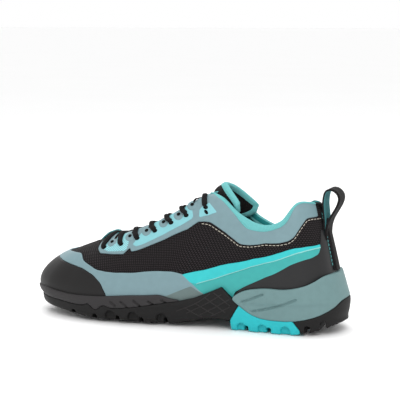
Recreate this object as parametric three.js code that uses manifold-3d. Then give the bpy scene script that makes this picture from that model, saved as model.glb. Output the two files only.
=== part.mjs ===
// A low approach shoe for the right foot, standing empty on its sole. Millimetres, +X to the
// toe, +Y to the inner side of the foot, +Z up. The origin is on the floor under the middle.
import * as THREE from 'three';
import { mergeVertices } from 'three/addons/utils/BufferGeometryUtils.js';
import Module from 'manifold-3d';

const wasm = await Module();
wasm.setup();

// Main sizes
const LENGTH = 280;
const BALL_WIDTH = 98;
const COLLAR_HEIGHT = 106;
const INSTEP_HEIGHT = 110;
const HEEL_STACK = 25;
const BALL_STACK = 13.5;
const TOE_SPRING = 8.2;
const HEEL_BEVEL = 10.5;
const EDGE_RISE = 3.5;
const SOLE_FLARE = 6.5;
const WALL = 2;
const COLLAR_PAD = 5.5;
const INSOLE = 3.5;
const TREAD_DEPTH = 5;

// Clearances between neighbours, and thicknesses of what lies on the upper
const GAP = 0.3;
const SEAT = 0.45;
const FILM = 0.9;

// Steps of the facets
const AROUND = 20;
const UPWARD = 6;
const END_DENSITY = 0.25;

const table = (names, rows) => rows.map(
  (row) => Object.fromEntries(names.map((name, i) => [name, row[i]])));

// Sections of the last from the heel round to the toe. foot and top are places along LENGTH,
// inner and outer are half widths as shares of BALL_WIDTH, rise is a share of the height named
// beside the table. round is the exponent of the flank, low and high are its two swellings.
const SECTION_COLUMNS = ['foot', 'footInner', 'footOuter', 'top', 'topInner', 'topOuter',
  'riseInner', 'riseOuter', 'round', 'low', 'high'];
const COLLAR_SECTIONS = table(SECTION_COLUMNS, [
  [0.029, 0, 0, 0.089, 0, 0, 0.981, 0.981, 1.1, 0.010, -0.010],
  [0.052, 0.179, 0.179, 0.102, 0.112, 0.112, 1, 0.972, 1.1, 0.026, -0.003],
  [0.114, 0.290, 0.290, 0.139, 0.224, 0.214, 1.005, 0.962, 1.15, 0.036, 0.005],
  [0.207, 0.306, 0.316, 0.179, 0.286, 0.280, 0.868, 0.783, 1.25, 0.039, 0.010],
  [0.304, 0.301, 0.352, 0.236, 0.301, 0.301, 0.833, 0.731, 1.25, 0.036, 0.010],
  [0.396, 0.311, 0.398, 0.307, 0.265, 0.280, 0.901, 0.811, 1.25, 0.036, 0.015],
]);
const THROAT_SECTIONS = table(SECTION_COLUMNS, [
  [0.489, 0.352, 0.434, 0.375, 0.184, 0.224, 0.982, 0.932, 1.25, 0.041, 0.031],
  [0.582, 0.403, 0.459, 0.436, 0.122, 0.163, 0.995, 0.955, 1.3, 0.046, 0.036],
  [0.675, 0.434, 0.454, 0.521, 0.107, 0.143, 0.886, 0.841, 1.35, 0.051, 0.036],
  [0.764, 0.429, 0.403, 0.607, 0.097, 0.133, 0.777, 0.741, 1.4, 0.056, 0.036],
  [0.850, 0.378, 0.316, 0.693, 0.087, 0.112, 0.673, 0.650, 1.45, 0.061, 0.031],
  [0.931, 0.270, 0.215, 0.757, 0.066, 0.082, 0.594, 0.582, 1.55, 0.071, 0.020],
  [0.977, 0.055, -0.045, 0.793, 0, 0, 0.545, 0.545, 1.6, 0.087, 0.015],
]);

// Height of the bed that the foot stands on: shares of the heel and ball stacks and of the spring
const BED = table(['along', 'heel', 'ball', 'spring'], [
  [0, 1, 0, 0],
  [0.14, 1, 0, 0],
  [0.28, 0.87, 0.13, 0],
  [0.42, 0.45, 0.55, 0],
  [0.56, 0.1, 0.9, 0],
  [0.70, 0, 1, 0],
  [0.85, 0, 1, 0.12],
  [0.98, 0, 1, 0.52],
]);

// Underside: shares of the heel bevel, of the toe spring and of the rise of its two edges
const GROUND = table(['along', 'bevel', 'spring', 'edge'], [
  [0, 1, 0, 0],
  [0.04, 0.65, 0, 0.05],
  [0.08, 0.30, 0, 0.10],
  [0.14, 0, 0, 0.15],
  [0.32, 0, 0, 0.15],
  [0.45, 0, 0, 0.8],
  [0.55, 0, 0, 1],
  [0.76, 0, 0, 1],
  [0.82, 0, 0.20, 1],
  [0.88, 0, 0.43, 1],
  [0.94, 0, 0.70, 0.8],
  [1, 0, 1, 0],
]);

// Side wall of the sole, from the tread edge (-1) past the bed (0) to above its rim (1), as
// shares of the flare; the tread edge takes its share from the next table
const SIDE_LEVELS = table(['level', 'out'], [
  [-0.78, 0.84],
  [-0.42, 1],
  [0, 1.08],
  [0.3, 0.84],
  [0.65, 0.67],
  [1, 0.5],
]);
const FLARES = table(['turn', 'swell', 'tread'], [
  [0, 1.23, 0.9],
  [0.1, 1.12, 0.85],
  [0.2, 1, 0.6],
  [0.35, 0.95, 0.5],
  [0.5, 0.8, 0.5],
  [0.65, 0.75, 0.5],
  [0.8, 0.75, 0.5],
  [0.92, 0.8, 0.6],
  [1, 0.85, 0.65],
]);
const RIM_TOPS = table(['along', 'stack'], [
  [0, 2.3],
  [0.05, 2.3],
  [0.12, 1.9],
  [0.2, 1.75],
  [0.35, 1.7],
  [0.45, 1.45],
  [0.55, 1.3],
  [0.75, 1.15],
  [1, 1.15],
]);

function between(rows, key, at, name) {
  const last = rows.length - 1;
  const found = rows.findIndex((row) => row[key] > at);
  const i = found < 0 ? last - 1 : Math.max(found - 1, 0);
  const share = (at - rows[i][key]) / (rows[i + 1][key] - rows[i][key]);
  const eased = THREE.MathUtils.clamp(share, 0, 1);
  return THREE.MathUtils.lerp(rows[i][name], rows[i + 1][name], eased);
}

function bedAt(x) {
  const along = x / LENGTH;
  return HEEL_STACK * between(BED, 'along', along, 'heel')
    + BALL_STACK * between(BED, 'along', along, 'ball')
    + TOE_SPRING * between(BED, 'along', along, 'spring');
}

function groundAt(x, across) {
  const along = x / LENGTH;
  const flat = 0.45;
  const toEdge = Math.max(0, (Math.abs(across) - flat) / (1 - flat));
  return HEEL_BEVEL * between(GROUND, 'along', along, 'bevel')
    + TOE_SPRING * between(GROUND, 'along', along, 'spring')
    + EDGE_RISE * between(GROUND, 'along', along, 'edge') * toEdge * toEdge;
}

// The last as a closed ring of stations: inner side out to the toe, outer side back to the heel
const SECTIONS = [
  ...COLLAR_SECTIONS.map((row) => ({ ...row, height: COLLAR_HEIGHT })),
  ...THROAT_SECTIONS.map((row) => ({ ...row, height: INSTEP_HEIGHT })),
];
const TOE = SECTIONS.length - 1;

function station(row, side) {
  const inner = side > 0;
  return {
    footX: row.foot * LENGTH,
    footY: side * BALL_WIDTH * (inner ? row.footInner : row.footOuter),
    topX: row.top * LENGTH,
    topY: side * BALL_WIDTH * (inner ? row.topInner : row.topOuter),
    topZ: row.height * (inner ? row.riseInner : row.riseOuter),
    round: row.round,
    low: row.low * BALL_WIDTH,
    high: row.high * BALL_WIDTH,
  };
}

const RING = [
  ...SECTIONS.map((row) => station(row, 1)),
  ...SECTIONS.slice(1, TOE).reverse().map((row) => station(row, -1)),
];

// turn is 0 at the heel, 1 at the toe along the inner side and 2 at the heel again
function ringAt(turn) {
  const place = THREE.MathUtils.euclideanModulo(turn * TOE, RING.length);
  const i = Math.floor(place);
  const t = place - i;
  const [a, b, c, d] = [-1, 0, 1, 2].map((k) => RING[(i + k + RING.length) % RING.length]);
  const blend = (name) => 0.5 * (2 * b[name] + (c[name] - a[name]) * t
    + (2 * a[name] - 5 * b[name] + 4 * c[name] - d[name]) * t * t
    + (3 * b[name] - a[name] - 3 * c[name] + d[name]) * t * t * t);
  return Object.fromEntries(Object.keys(b).map((name) => [name, blend(name)]));
}

const TINY_TURN = 0.001;

function outwardAt(turn) {
  const before = ringAt(turn - TINY_TURN);
  const after = ringAt(turn + TINY_TURN);
  return new THREE.Vector3(before.footY - after.footY, after.footX - before.footX, 0).normalize();
}

// Outer face of the upper: up is 0 at the feather edge and 1 at the collar and throat edge
function lastPoint(turn, up) {
  const s = ringAt(turn);
  const angle = up * Math.PI / 2;
  const inward = 1 - Math.cos(angle) ** (2 / s.round);
  const rise = Math.sin(angle) ** (2 / s.round);
  const swell = 6.75 * up * (1 - up) * (s.low * (1 - up) + s.high * up);
  const bed = bedAt(s.footX);
  return new THREE.Vector3(
    THREE.MathUtils.lerp(s.footX, s.topX, inward),
    THREE.MathUtils.lerp(s.footY, s.topY, inward),
    THREE.MathUtils.lerp(bed, s.topZ, rise),
  ).addScaledVector(outwardAt(turn), swell);
}

// The share of the flank that lies at a height
function upAtHeight(turn, z) {
  const s = ringAt(turn);
  const bed = bedAt(s.footX);
  const rise = THREE.MathUtils.clamp((z - bed) / (s.topZ - bed), 0, 1);
  return Math.asin(rise ** (s.round / 2)) / (Math.PI / 2);
}

function lastNormal(turn, up) {
  const reach = 0.04;
  const low = Math.max(up - reach, 0);
  const high = Math.min(up + reach, 1);
  const around = lastPoint(turn + reach / 4, up).sub(lastPoint(turn - reach / 4, up));
  const rising = lastPoint(turn, high).sub(lastPoint(turn, low));
  return rising.cross(around).normalize();
}

const skin = (turn, up, lift) => lastPoint(turn, up).addScaledVector(lastNormal(turn, up), lift);

// Wall of the upper, padded towards the collar
function wallAt(turn, up) {
  const fromHeel = Math.min(turn, 2 - turn);
  const rear = 1 - THREE.MathUtils.smoothstep(fromHeel, 0.44, 0.58);
  const near = THREE.MathUtils.smoothstep(up, 0.55, 0.85);
  return WALL + (COLLAR_PAD - WALL) * rear * near;
}

// Closed solids are made from triangles, turned so that their faces point out
function closed(triangles) {
  const solidVolume = triangles.reduce(
    (sum, [a, b, c]) => sum + a.dot(b.clone().cross(c)), 0);
  const ordered = solidVolume > 0 ? triangles : triangles.map(([a, b, c]) => [a, c, b]);
  const geometry = new THREE.BufferGeometry().setFromPoints(ordered.flat());
  return mergeVertices(geometry, 1e-4);
}

function quad(triangles, a, b, c, d) {
  for (const [p, q, r] of [[a, b, c], [a, c, d]]) {
    const flat = p.distanceTo(q) < 1e-6 || q.distanceTo(r) < 1e-6 || r.distanceTo(p) < 1e-6;
    if (!flat) triangles.push([p, q, r]);
  }
}

// A sheet between two grids of points, closed all round; a ring joins its first and last rows
function sheet(outer, inner, ring = false) {
  const triangles = [];
  const rows = outer.length;
  const top = outer[0].length - 1;
  for (let i = 0; i < (ring ? rows : rows - 1); i += 1) {
    const next = (i + 1) % rows;
    for (let j = 0; j < top; j += 1) {
      quad(triangles, outer[i][j], outer[i][j + 1], outer[next][j + 1], outer[next][j]);
      quad(triangles, inner[i][j], inner[next][j], inner[next][j + 1], inner[i][j + 1]);
    }
    quad(triangles, outer[i][top], inner[i][top], inner[next][top], outer[next][top]);
    quad(triangles, outer[i][0], outer[next][0], inner[next][0], inner[i][0]);
  }
  if (!ring) {
    for (let j = 0; j < top; j += 1) {
      const end = rows - 1;
      quad(triangles, outer[0][j], inner[0][j], inner[0][j + 1], outer[0][j + 1]);
      quad(triangles, outer[end][j], outer[end][j + 1], inner[end][j + 1], inner[end][j]);
    }
  }
  return closed(triangles);
}

// Rings of one foot outline stacked upwards. Rungs from side to side close the two ends.
function stack(rings, across, floorPoint, roofPoint) {
  const triangles = [];
  const size = rings[0].length;
  const toe = size / 2;
  for (let level = 0; level < rings.length - 1; level += 1) {
    for (let i = 0; i < size; i += 1) {
      const next = (i + 1) % size;
      quad(triangles, rings[level][i], rings[level + 1][i],
        rings[level + 1][next], rings[level][next]);
    }
  }
  const rung = (ring, i, place) => Array.from({ length: across + 1 }, (_, j) => {
    const a = ring[i];
    const b = ring[(size - i) % size];
    if (j === 0 || j === across) return j === 0 ? a : b;
    return place(a.clone().lerp(b, j / across), 2 * j / across - 1);
  });
  const floor = rings[0];
  const roof = rings[rings.length - 1];
  for (let i = 0; i < toe; i += 1) {
    const [low, lowNext] = [rung(floor, i, floorPoint), rung(floor, i + 1, floorPoint)];
    const [high, highNext] = [rung(roof, i, roofPoint), rung(roof, i + 1, roofPoint)];
    for (let j = 0; j < across; j += 1) {
      quad(triangles, low[j], lowNext[j], lowNext[j + 1], low[j + 1]);
      quad(triangles, high[j], high[j + 1], highNext[j + 1], highNext[j]);
    }
  }
  return closed(triangles);
}

const asIs = (point) => point;

// Turns round the foot, closer together at the heel and at the toe
const turns = (steps) => Array.from({ length: 2 * steps }, (_, i) => i / steps
  - END_DENSITY * Math.sin(2 * Math.PI * i / steps) / (2 * Math.PI));


function manifoldOf(geometry) {
  geometry.deleteAttribute('normal');
  geometry.deleteAttribute('uv');
  const merged = mergeVertices(geometry, 1e-4);
  return new wasm.Manifold(new wasm.Mesh({
    numProp: 3,
    vertProperties: Float32Array.from(merged.attributes.position.array),
    triVerts: Uint32Array.from(merged.index.array),
  }));
}

function geometryOf(manifold) {
  const mesh = manifold.getMesh();
  const geometry = new THREE.BufferGeometry();
  geometry.setAttribute('position', new THREE.BufferAttribute(
    Float32Array.from(mesh.vertProperties), 3));
  geometry.setIndex(Array.from(mesh.triVerts));
  return geometry;
}

// A prism across the whole shoe from an outline seen from the side, and one from a plan outline
function sidePrism(outline) {
  const depth = 2 * BALL_WIDTH;
  const geometry = new THREE.ExtrudeGeometry(new THREE.Shape(outline),
    { depth, bevelEnabled: false });
  geometry.rotateX(Math.PI / 2);
  geometry.translate(0, depth / 2, 0);
  return manifoldOf(geometry);
}

function planPrism(outline, low, high) {
  const geometry = new THREE.ExtrudeGeometry(new THREE.Shape(outline),
    { depth: high - low, bevelEnabled: false });
  geometry.translate(0, 0, low);
  return manifoldOf(geometry);
}

// Lines on the side of the sole, shares of LENGTH and of HEEL_STACK, from the toe backwards
const LINE = ['along', 'level'];
const BELOW = -0.4;
const HIGH = 4;
const MIDSOLE_RIM = table(LINE, [
  [1.04, 0.86], [0.946, 0.97], [0.888, 0.92], [0.841, 0.884], [0.793, 0.888],
  [0.722, 0.928], [0.643, 1.012], [0.585, 1.048], [0.541, 1.08], [0.51, 0.98], [0.484, 0.935],
]);
const OUTSOLE_TOP = table(LINE, [
  [1.04, 0.76], [0.972, 0.644], [0.914, 0.628], [0.864, 0.604], [0.814, 0.548],
  [0.782, 0.576], [0.768, 0.636], [0.745, 0.432], [0.717, 0.616], [0.688, 0.54],
  [0.639, 0.596], [0.582, 0.7], [0.536, 0.796], [0.483, 0.9],
]);
const ARCH_WING = table(LINE, [
  [0.436, 1.036], [0.379, 1.316], [0.353, 1.46], [0.3, 0.872], [0.325, 0.408], [0.327, 0.33],
]);
const ARCH_UNDER = table(LINE, [
  [0.37, 0.39], [0.41, 0.34], [0.45, 0.25], [0.49, 0.14], [0.53, 0],
]);
const WEDGE_TOP = table(LINE, [
  [0.3185, 1.08], [0.312, 1.2], [0.279, 1.4], [0.221, 1.516], [0.164, 1.516], [0.114, 1.62],
  [0.082, 1.76], [0.051, 1.988], [0.031, 2.1], [0.018, 2.14], [-0.04, 2.14],
]);
const WEDGE_UNDER = table(LINE, [
  [-0.04, 1.3], [0.006, 1.152], [0.027, 0.92], [0.064, 0.684], [0.114, 0.528],
  [0.164, 0.472], [0.221, 0.488], [0.261, 0.608], [0.3, 0.872],
]);
const BLOCK_TOP = WEDGE_UNDER.slice(5);
const REAR_TOP = WEDGE_UNDER.slice(0, 5);
const BLOCK_REAR = table(LINE, [[0.136, 0.5], [0.116, 0.2], [0.11, BELOW]]);
const BEYOND = 1.04;

const sidePoints = (rows, shift = 0, lift = 0) => rows.map(
  (row) => new THREE.Vector2(row.along * LENGTH + shift, row.level * HEEL_STACK + lift));
const corner = (along, level) => new THREE.Vector2(along * LENGTH, level * HEEL_STACK);

// Block of the whole sole before it is parted, from the tread to above the rim
function soleBlank() {
  const steps = turns(AROUND);
  const lowest = steps.map((turn) => {
    const fromHeel = Math.min(turn, 2 - turn);
    const s = ringAt(turn);
    const flare = SOLE_FLARE * between(FLARES, 'turn', fromHeel, 'swell');
    const reach = flare * between(FLARES, 'turn', fromHeel, 'tread');
    const point = new THREE.Vector3(s.footX, s.footY, 0).addScaledVector(outwardAt(turn), reach);
    return point.setZ(groundAt(point.x, 1));
  });
  const rings = SIDE_LEVELS.map((row) => steps.map((turn, i) => {
    const fromHeel = Math.min(turn, 2 - turn);
    const bed = bedAt(ringAt(turn).footX);
    const rim = HEEL_STACK * between(RIM_TOPS, 'along', ringAt(turn).footX / LENGTH, 'stack');
    const z = row.level < 0
      ? THREE.MathUtils.lerp(bed, lowest[i].z, -row.level)
      : THREE.MathUtils.lerp(bed, rim, row.level);
    const flare = SOLE_FLARE * between(FLARES, 'turn', fromHeel, 'swell');
    const seat = lastPoint(turn, upAtHeight(turn, z)).setZ(z);
    return seat.addScaledVector(outwardAt(turn), flare * row.out);
  }));
  const tread = (point, across) => point.setZ(groundAt(point.x, across));
  return manifoldOf(stack([lowest, ...rings], 6, tread, asIs));
}

// The last, grown by a clearance: what the sole leaves free for the upper
function lastSolid(clearance, reach) {
  const steps = turns(AROUND);
  const levels = Math.round(reach * UPWARD);
  const rings = Array.from({ length: levels + 1 }, (_, j) => steps.map((turn) => {
    const point = skin(turn, j / UPWARD, clearance);
    const floor = bedAt(ringAt(turn).footX) - clearance;
    return j === 0 ? point.setZ(floor) : point.setZ(Math.max(point.z, floor + 0.2 * j));
  }));
  return manifoldOf(stack(rings, 2, asIs, asIs));
}

// A plug with the outline of the feather edge moved outwards, between two levels of its own
function plug(outset, from, to, floorAt, roofAt) {
  const ring = (heightAt) => turns(AROUND).map((turn) => {
    const s = ringAt(turn);
    const point = new THREE.Vector3(s.footX, s.footY, 0).addScaledVector(outwardAt(turn), outset);
    return point.setZ(heightAt(point.x));
  });
  const whole = manifoldOf(stack([ring(floorAt), ring(roofAt)], 2, asIs, asIs));
  return whole.intersect(sidePrism([
    corner(from, BELOW), corner(to, BELOW), corner(to, HIGH), corner(from, HIGH),
  ]));
}

// The well in the tread that takes the midsole foam: its floor as a share of HEEL_STACK
const WELL_FLOOR = table(['along', 'stack'], [
  [0.2, 0.56], [0.34, 0.56], [0.42, 0.48], [0.52, 0.34], [0.9, 0.34], [0.95, 0.42], [1, 0.5],
]);
const WELL = { outset: 2, back: 0.2, split: 0.335, front: 0.955, lap: 5 };
const wellFloor = (x) => HEEL_STACK * between(WELL_FLOOR, 'along', x / LENGTH, 'stack');

// Grooves between the lugs: chevrons across the tread, and straight ones along it
const GROOVE_WIDTH = 4;
const FRONT_GROOVE_SPACING = 38;
const BLOCK_GROOVE_SPACING = 26;
const CHEVRON = 7;
const FRONT_GROOVES = [0.81, 0.735, 0.66, 0.585, 0.51];
const BLOCK_GROOVES = [0.262, 0.193];
const REAR_GROOVES = [0.078, 0.036];

function chevronGrooves(places) {
  return places.map((along) => {
    const x = along * LENGTH;
    const half = GROOVE_WIDTH / 2;
    return planPrism([
      new THREE.Vector2(x - half, -BALL_WIDTH),
      new THREE.Vector2(x + half, -BALL_WIDTH),
      new THREE.Vector2(x + half + CHEVRON, 0),
      new THREE.Vector2(x + half, BALL_WIDTH),
      new THREE.Vector2(x - half, BALL_WIDTH),
      new THREE.Vector2(x - half + CHEVRON, 0),
    ], -TREAD_DEPTH, groundAt(x, 0) + TREAD_DEPTH);
  });
}

function lengthwiseGrooves(from, to, apart) {
  return [-apart / 2, apart / 2].map((y) => planPrism([
    new THREE.Vector2(from * LENGTH, y - GROOVE_WIDTH / 2),
    new THREE.Vector2(to * LENGTH, y - GROOVE_WIDTH / 2),
    new THREE.Vector2(to * LENGTH, y + GROOVE_WIDTH / 2),
    new THREE.Vector2(from * LENGTH, y + GROOVE_WIDTH / 2),
  ], -TREAD_DEPTH, TREAD_DEPTH));
}

// Slanted slots in the side of the midsole and curved grooves in the heel wedge
const SIDE_SLOTS = table(['along', 'level', 'forward', 'drop'], [
  [0.694, 0.79, 0.021, 0.2],
  [0.66, 0.81, 0.023, 0.22],
  [0.62, 0.86, 0.028, 0.24],
  [0.576, 0.87, 0.03, 0.22],
  [0.536, 0.93, 0.026, 0.18],
]);
const WEDGE_GROOVES = [
  table(LINE, [[0.293, 1], [0.262, 1.13], [0.221, 1.34]]),
  table(LINE, [[0.262, 0.72], [0.221, 0.82], [0.17, 1], [0.121, 1.24]]),
];
const SLOT_WIDTH = 1.3;
const SLOT_DEPTH = 1.2;

// A curved bar seen from the side, kept to the outer skin of the sole
function sideStroke(points, width) {
  const curve = new THREE.SplineCurve(points);
  const steps = 4 * (points.length - 1);
  const edge = (side) => Array.from({ length: steps + 1 }, (_, i) => {
    const tangent = curve.getTangent(i / steps);
    const point = curve.getPoint(i / steps);
    const taper = Math.sin(Math.PI * (0.12 + 0.76 * i / steps));
    return point.add(new THREE.Vector2(-tangent.y, tangent.x)
      .multiplyScalar(side * width * taper / 2));
  });
  return sidePrism([...edge(1), ...edge(-1).reverse()]);
}

const slotPoints = ({ along, level, forward, drop }) => [
  corner(along, level), corner(along - forward, level - drop),
];

// The blank made narrower, so that strokes cut only its outer skin
function narrowed(blank, depth) {
  const inner = depth / (BALL_WIDTH / 2);
  const centre = blank.boundingBox();
  const middle = (centre.min[1] + centre.max[1]) / 2;
  return blank.translate([0, -middle, 0]).scale([1, 1 - inner, 1]).translate([0, middle, 0]);
}

const cut = (solid, tools) => tools.reduce((left, tool) => left.subtract(tool), solid);

function soleParts() {
  const blank = soleBlank();
  const cup = lastSolid(GAP, 0.5);
  const core = narrowed(blank, SLOT_DEPTH);
  const foamFloor = (x) => wellFloor(x) + GAP;
  const foamRoof = (x) => bedAt(x) + WELL.lap;
  const well = plug(WELL.outset + GAP, WELL.back, WELL.front + 0.001, wellFloor,
    () => HIGH * HEEL_STACK);
  const foam = (from, to) => plug(WELL.outset, from, to, foamFloor, foamRoof);
  const gapAlong = GAP / LENGTH;

  const midsole = blank.intersect(sidePrism([
    ...sidePoints(MIDSOLE_RIM),
    ...sidePoints(OUTSOLE_TOP, 0, GAP).reverse(),
  ])).add(foam(WELL.split, WELL.front - gapAlong));
  const slots = SIDE_SLOTS.map((row) => sideStroke(slotPoints(row), SLOT_WIDTH).subtract(core));

  const forefoot = blank.intersect(sidePrism([
    ...sidePoints(OUTSOLE_TOP),
    ...sidePoints(ARCH_WING),
    ...sidePoints(ARCH_UNDER),
    corner(0.53, BELOW),
    corner(BEYOND, BELOW),
  ]));
  const wedge = blank.intersect(sidePrism([
    ...sidePoints(WEDGE_TOP),
    ...sidePoints(WEDGE_UNDER),
  ])).add(foam(WELL.back, WELL.split - gapAlong));
  const wedgeGrooves = WEDGE_GROOVES.map(
    (rows) => sideStroke(sidePoints(rows), SLOT_WIDTH).subtract(core));
  const block = blank.intersect(sidePrism([
    ...sidePoints(BLOCK_TOP, 0, -GAP),
    ...sidePoints(ARCH_WING.slice(4), -1.5 * GAP),
    corner(0.325, BELOW),
    ...sidePoints(BLOCK_REAR, GAP, -GAP).reverse(),
  ]));
  const rear = blank.intersect(sidePrism([
    ...sidePoints(REAR_TOP, 0, -GAP),
    ...sidePoints(BLOCK_REAR, 0, -GAP),
    corner(-0.04, BELOW),
  ]));
  return {
    midsole: cut(midsole, [cup, ...slots]),
    outsole_forefoot: cut(forefoot, [cup, well, ...chevronGrooves(FRONT_GROOVES),
      ...lengthwiseGrooves(0.5, 0.83, FRONT_GROOVE_SPACING)]),
    heel_wedge: cut(wedge, [cup, ...wedgeGrooves]),
    heel_block: cut(block, [cup, well, ...chevronGrooves(BLOCK_GROOVES),
      ...lengthwiseGrooves(0.1, 0.35, BLOCK_GROOVE_SPACING)]),
    outsole_heel: cut(rear, [cup, ...chevronGrooves(REAR_GROOVES)]),
  };
}

// Points round the whole upper at a lift of their own from its outer face
function shellGrid(liftAt) {
  return turns(AROUND).map((turn) => Array.from({ length: UPWARD + 1 }, (_, j) => {
    const up = j / UPWARD;
    return skin(turn, up, liftAt(turn, up));
  }));
}

function upperShell() {
  return sheet(shellGrid(() => 0), shellGrid((turn, up) => -wallAt(turn, up)), true);
}

// A grid moved along its own normals
function offsetGrid(grid, distance) {
  const last = grid.length - 1;
  const end = grid[0].length - 1;
  return grid.map((row, i) => row.map((point, j) => {
    const along = grid[Math.min(i + 1, last)][j].clone().sub(grid[Math.max(i - 1, 0)][j]);
    const across = row[Math.min(j + 1, end)].clone().sub(row[Math.max(j - 1, 0)]);
    return point.clone().addScaledVector(along.cross(across).normalize(), distance);
  }));
}

// Tongue: rows from under the vamp back along the throat, each from wing to wing, then three
// free rows above the collar. wing and edge are shares of the flank: where a row ends under the
// quarter, and where it comes out from under it. crown is a share of the middle's own rise.
const TONGUE = { thick: 3.6, clear: 1, crown: 1.5, across: 10 };
const TONGUE_ROWS = table(['turn', 'wing', 'edge', 'crown'], [
  [0.955, 0.8, 0.88, -0.4],
  [0.945, 0.8, 0.94, -0.6],
  [0.92, 0.8, 1, -0.5],
  [0.88, 0.78, 1, 0.4],
  [0.82, 0.76, 1, 1],
  [0.75, 0.74, 1, 1],
  [0.68, 0.74, 1, 1],
  [0.62, 0.76, 1, 1],
  [0.575, 0.8, 1, 0.8],
]);
const TONGUE_TOP = [
  table(['x', 'y', 'z'], [
    [0.372, 0.17, 0.86], [0.401, 0.105, 0.965], [0.413, 0, 1],
    [0.401, -0.115, 0.94], [0.37, -0.185, 0.82],
  ]),
  table(['x', 'y', 'z'], [
    [0.326, 0.17, 0.91], [0.382, 0.115, 1.03], [0.405, 0, 1.045],
    [0.384, -0.12, 0.985], [0.322, -0.185, 0.86],
  ]),
  table(['x', 'y', 'z'], [
    [0.318, 0.204, 1.014], [0.357, 0.133, 1.108], [0.382, 0, 1.113],
    [0.364, -0.133, 1.07], [0.311, -0.214, 0.943],
  ]),
];

function tonguePad() {
  const under = (turn, up) => skin(turn, up, -wallAt(turn, up) - TONGUE.clear);
  const tucked = TONGUE_ROWS.map(({ turn, wing, edge, crown }) => {
    const inner = under(turn, edge);
    const outer = under(2 - turn, edge);
    const ridge = edge < 1 ? under(1, edge) : inner.clone().lerp(outer, 0.5);
    ridge.z += TONGUE.crown * crown;
    return [under(turn, wing), inner, ridge, outer, under(2 - turn, wing)];
  });
  const free = TONGUE_TOP.map((row) => row.map(({ x, y, z }) => new THREE.Vector3(
    x * LENGTH, y * BALL_WIDTH, z * COLLAR_HEIGHT)));
  const outer = [...tucked, ...free].map(
    (row) => new THREE.CatmullRomCurve3(row).getPoints(TONGUE.across));
  return sheet(outer, offsetGrid(outer, -TONGUE.thick));
}

function insoleBoard() {
  const inset = WALL + 1.4;
  const ring = (lift) => turns(AROUND).map((turn) => {
    const s = ringAt(turn);
    const point = new THREE.Vector3(s.footX, s.footY, 0).addScaledVector(outwardAt(turn), -inset);
    return point.setZ(bedAt(point.x) + lift);
  });
  return stack([ring(0), ring(INSOLE)], 2, asIs, asIs);
}

// Overlays. Each is a patch of one film that follows the upper, cut out by an outline on the
// flank: rows of turn with the low and high share of the flank there.
const PANEL = ['turn', 'low', 'high'];
const TOE_CAP = table(PANEL, [
  [0.7, 0, 0.14], [0.73, 0, 0.26], [0.765, 0, 0.33], [0.815, 0, 0.4], [0.875, 0, 0.45],
  [0.935, 0, 0.505], [1, 0, 0.56],
]);
const BAND = table(PANEL, [
  [0.436, 0, 0.185], [0.47, 0, 0.255], [0.507, 0, 0.318], [0.54, 0, 0.33], [0.647, 0, 0.33],
  [0.69, 0, 0.34], [0.7, 0.15, 0.341], [0.73, 0.26, 0.352], [0.765, 0.33, 0.375], [0.815, 0.4, 0.45],
  [0.833, 0.416, 0.48], [0.868, 0.445, 0.57], [0.935, 0.505, 0.62], [1, 0.56, 0.66],
]);
const WING = table(PANEL, [
  [0.1, 0.47, 0.53], [0.115, 0.44, 0.54], [0.168, 0.4, 0.548], [0.235, 0.38, 0.55],
  [0.285, 0.33, 0.53], [0.333, 0.24, 0.505], [0.351, 0.15, 0.494],
  [0.353, 0, 0.493], [0.395, 0, 0.445],
  [0.434, 0, 0.403], [0.436, 0.185, 0.4], [0.47, 0.255, 0.365], [0.5, 0.31, 0.328],
]);
const COUNTER = table(PANEL, [
  [0, 0, 0.56], [0.04, 0, 0.6], [0.068, 0, 0.64], [0.088, 0, 0.58], [0.096, 0, 0.5],
  [0.098, 0, 0.465], [0.115, 0, 0.44], [0.168, 0, 0.4], [0.235, 0, 0.38], [0.285, 0, 0.33],
  [0.333, 0, 0.24], [0.351, 0, 0.15],
]);
const COLLAR_PANEL = table(PANEL, [
  [0.078, 0.76, 0.87], [0.105, 0.745, 0.9], [0.135, 0.72, 0.93], [0.16, 0.65, 0.945],
  [0.183, 0.6, 0.935], [0.207, 0.6, 0.8], [0.292, 0.66, 0.84], [0.335, 0.64, 0.83],
  [0.377, 0.61, 0.8], [0.415, 0.65, 0.83], [0.463, 0.66, 0.87], [0.5, 0.66, 0.88],
  [0.526, 0.64, 0.87],
]);
// Binding of the collar edge; the panel ends under it
const BINDING = table(['turn', 'low'], [
  [0, 0.85], [0.078, 0.86], [0.105, 0.89], [0.135, 0.925], [0.16, 0.94], [0.183, 0.93],
  [0.207, 0.785], [0.228, 0.765], [0.292, 0.82], [0.335, 0.795], [0.377, 0.755],
  [0.415, 0.79], [0.45, 0.83], [0.51, 0.9],
]);
const EYESTAY = table(PANEL, [
  [0.53, 0.65, 1], [0.552, 0.6, 1], [0.6, 0.555, 1], [0.672, 0.49, 1], [0.69, 0.485, 1],
  [0.709, 0.55, 1], [0.712, 0.485, 1], [0.75, 0.505, 1], [0.792, 0.53, 1], [0.815, 0.59, 1],
  [0.832, 0.67, 1],
]);
const WINDOW = table(PANEL, [
  [0.555, 0.655, 0.68], [0.595, 0.605, 0.735], [0.64, 0.56, 0.68], [0.685, 0.535, 0.62],
  [0.698, 0.55, 0.6],
]);
const EDGE_GAP = 0.003;
const TURN_SHARE = 0.3;

const acrossToe = (rows) => [
  ...rows, ...rows.slice(0, -1).reverse().map((row) => ({ ...row, turn: 2 - row.turn }))];
const acrossHeel = (rows) => [
  ...rows.slice(1).reverse().map((row) => ({ ...row, turn: -row.turn })), ...rows];
const onOuterSide = (rows) => rows.map((row) => ({ ...row, turn: 2 - row.turn }));

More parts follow.
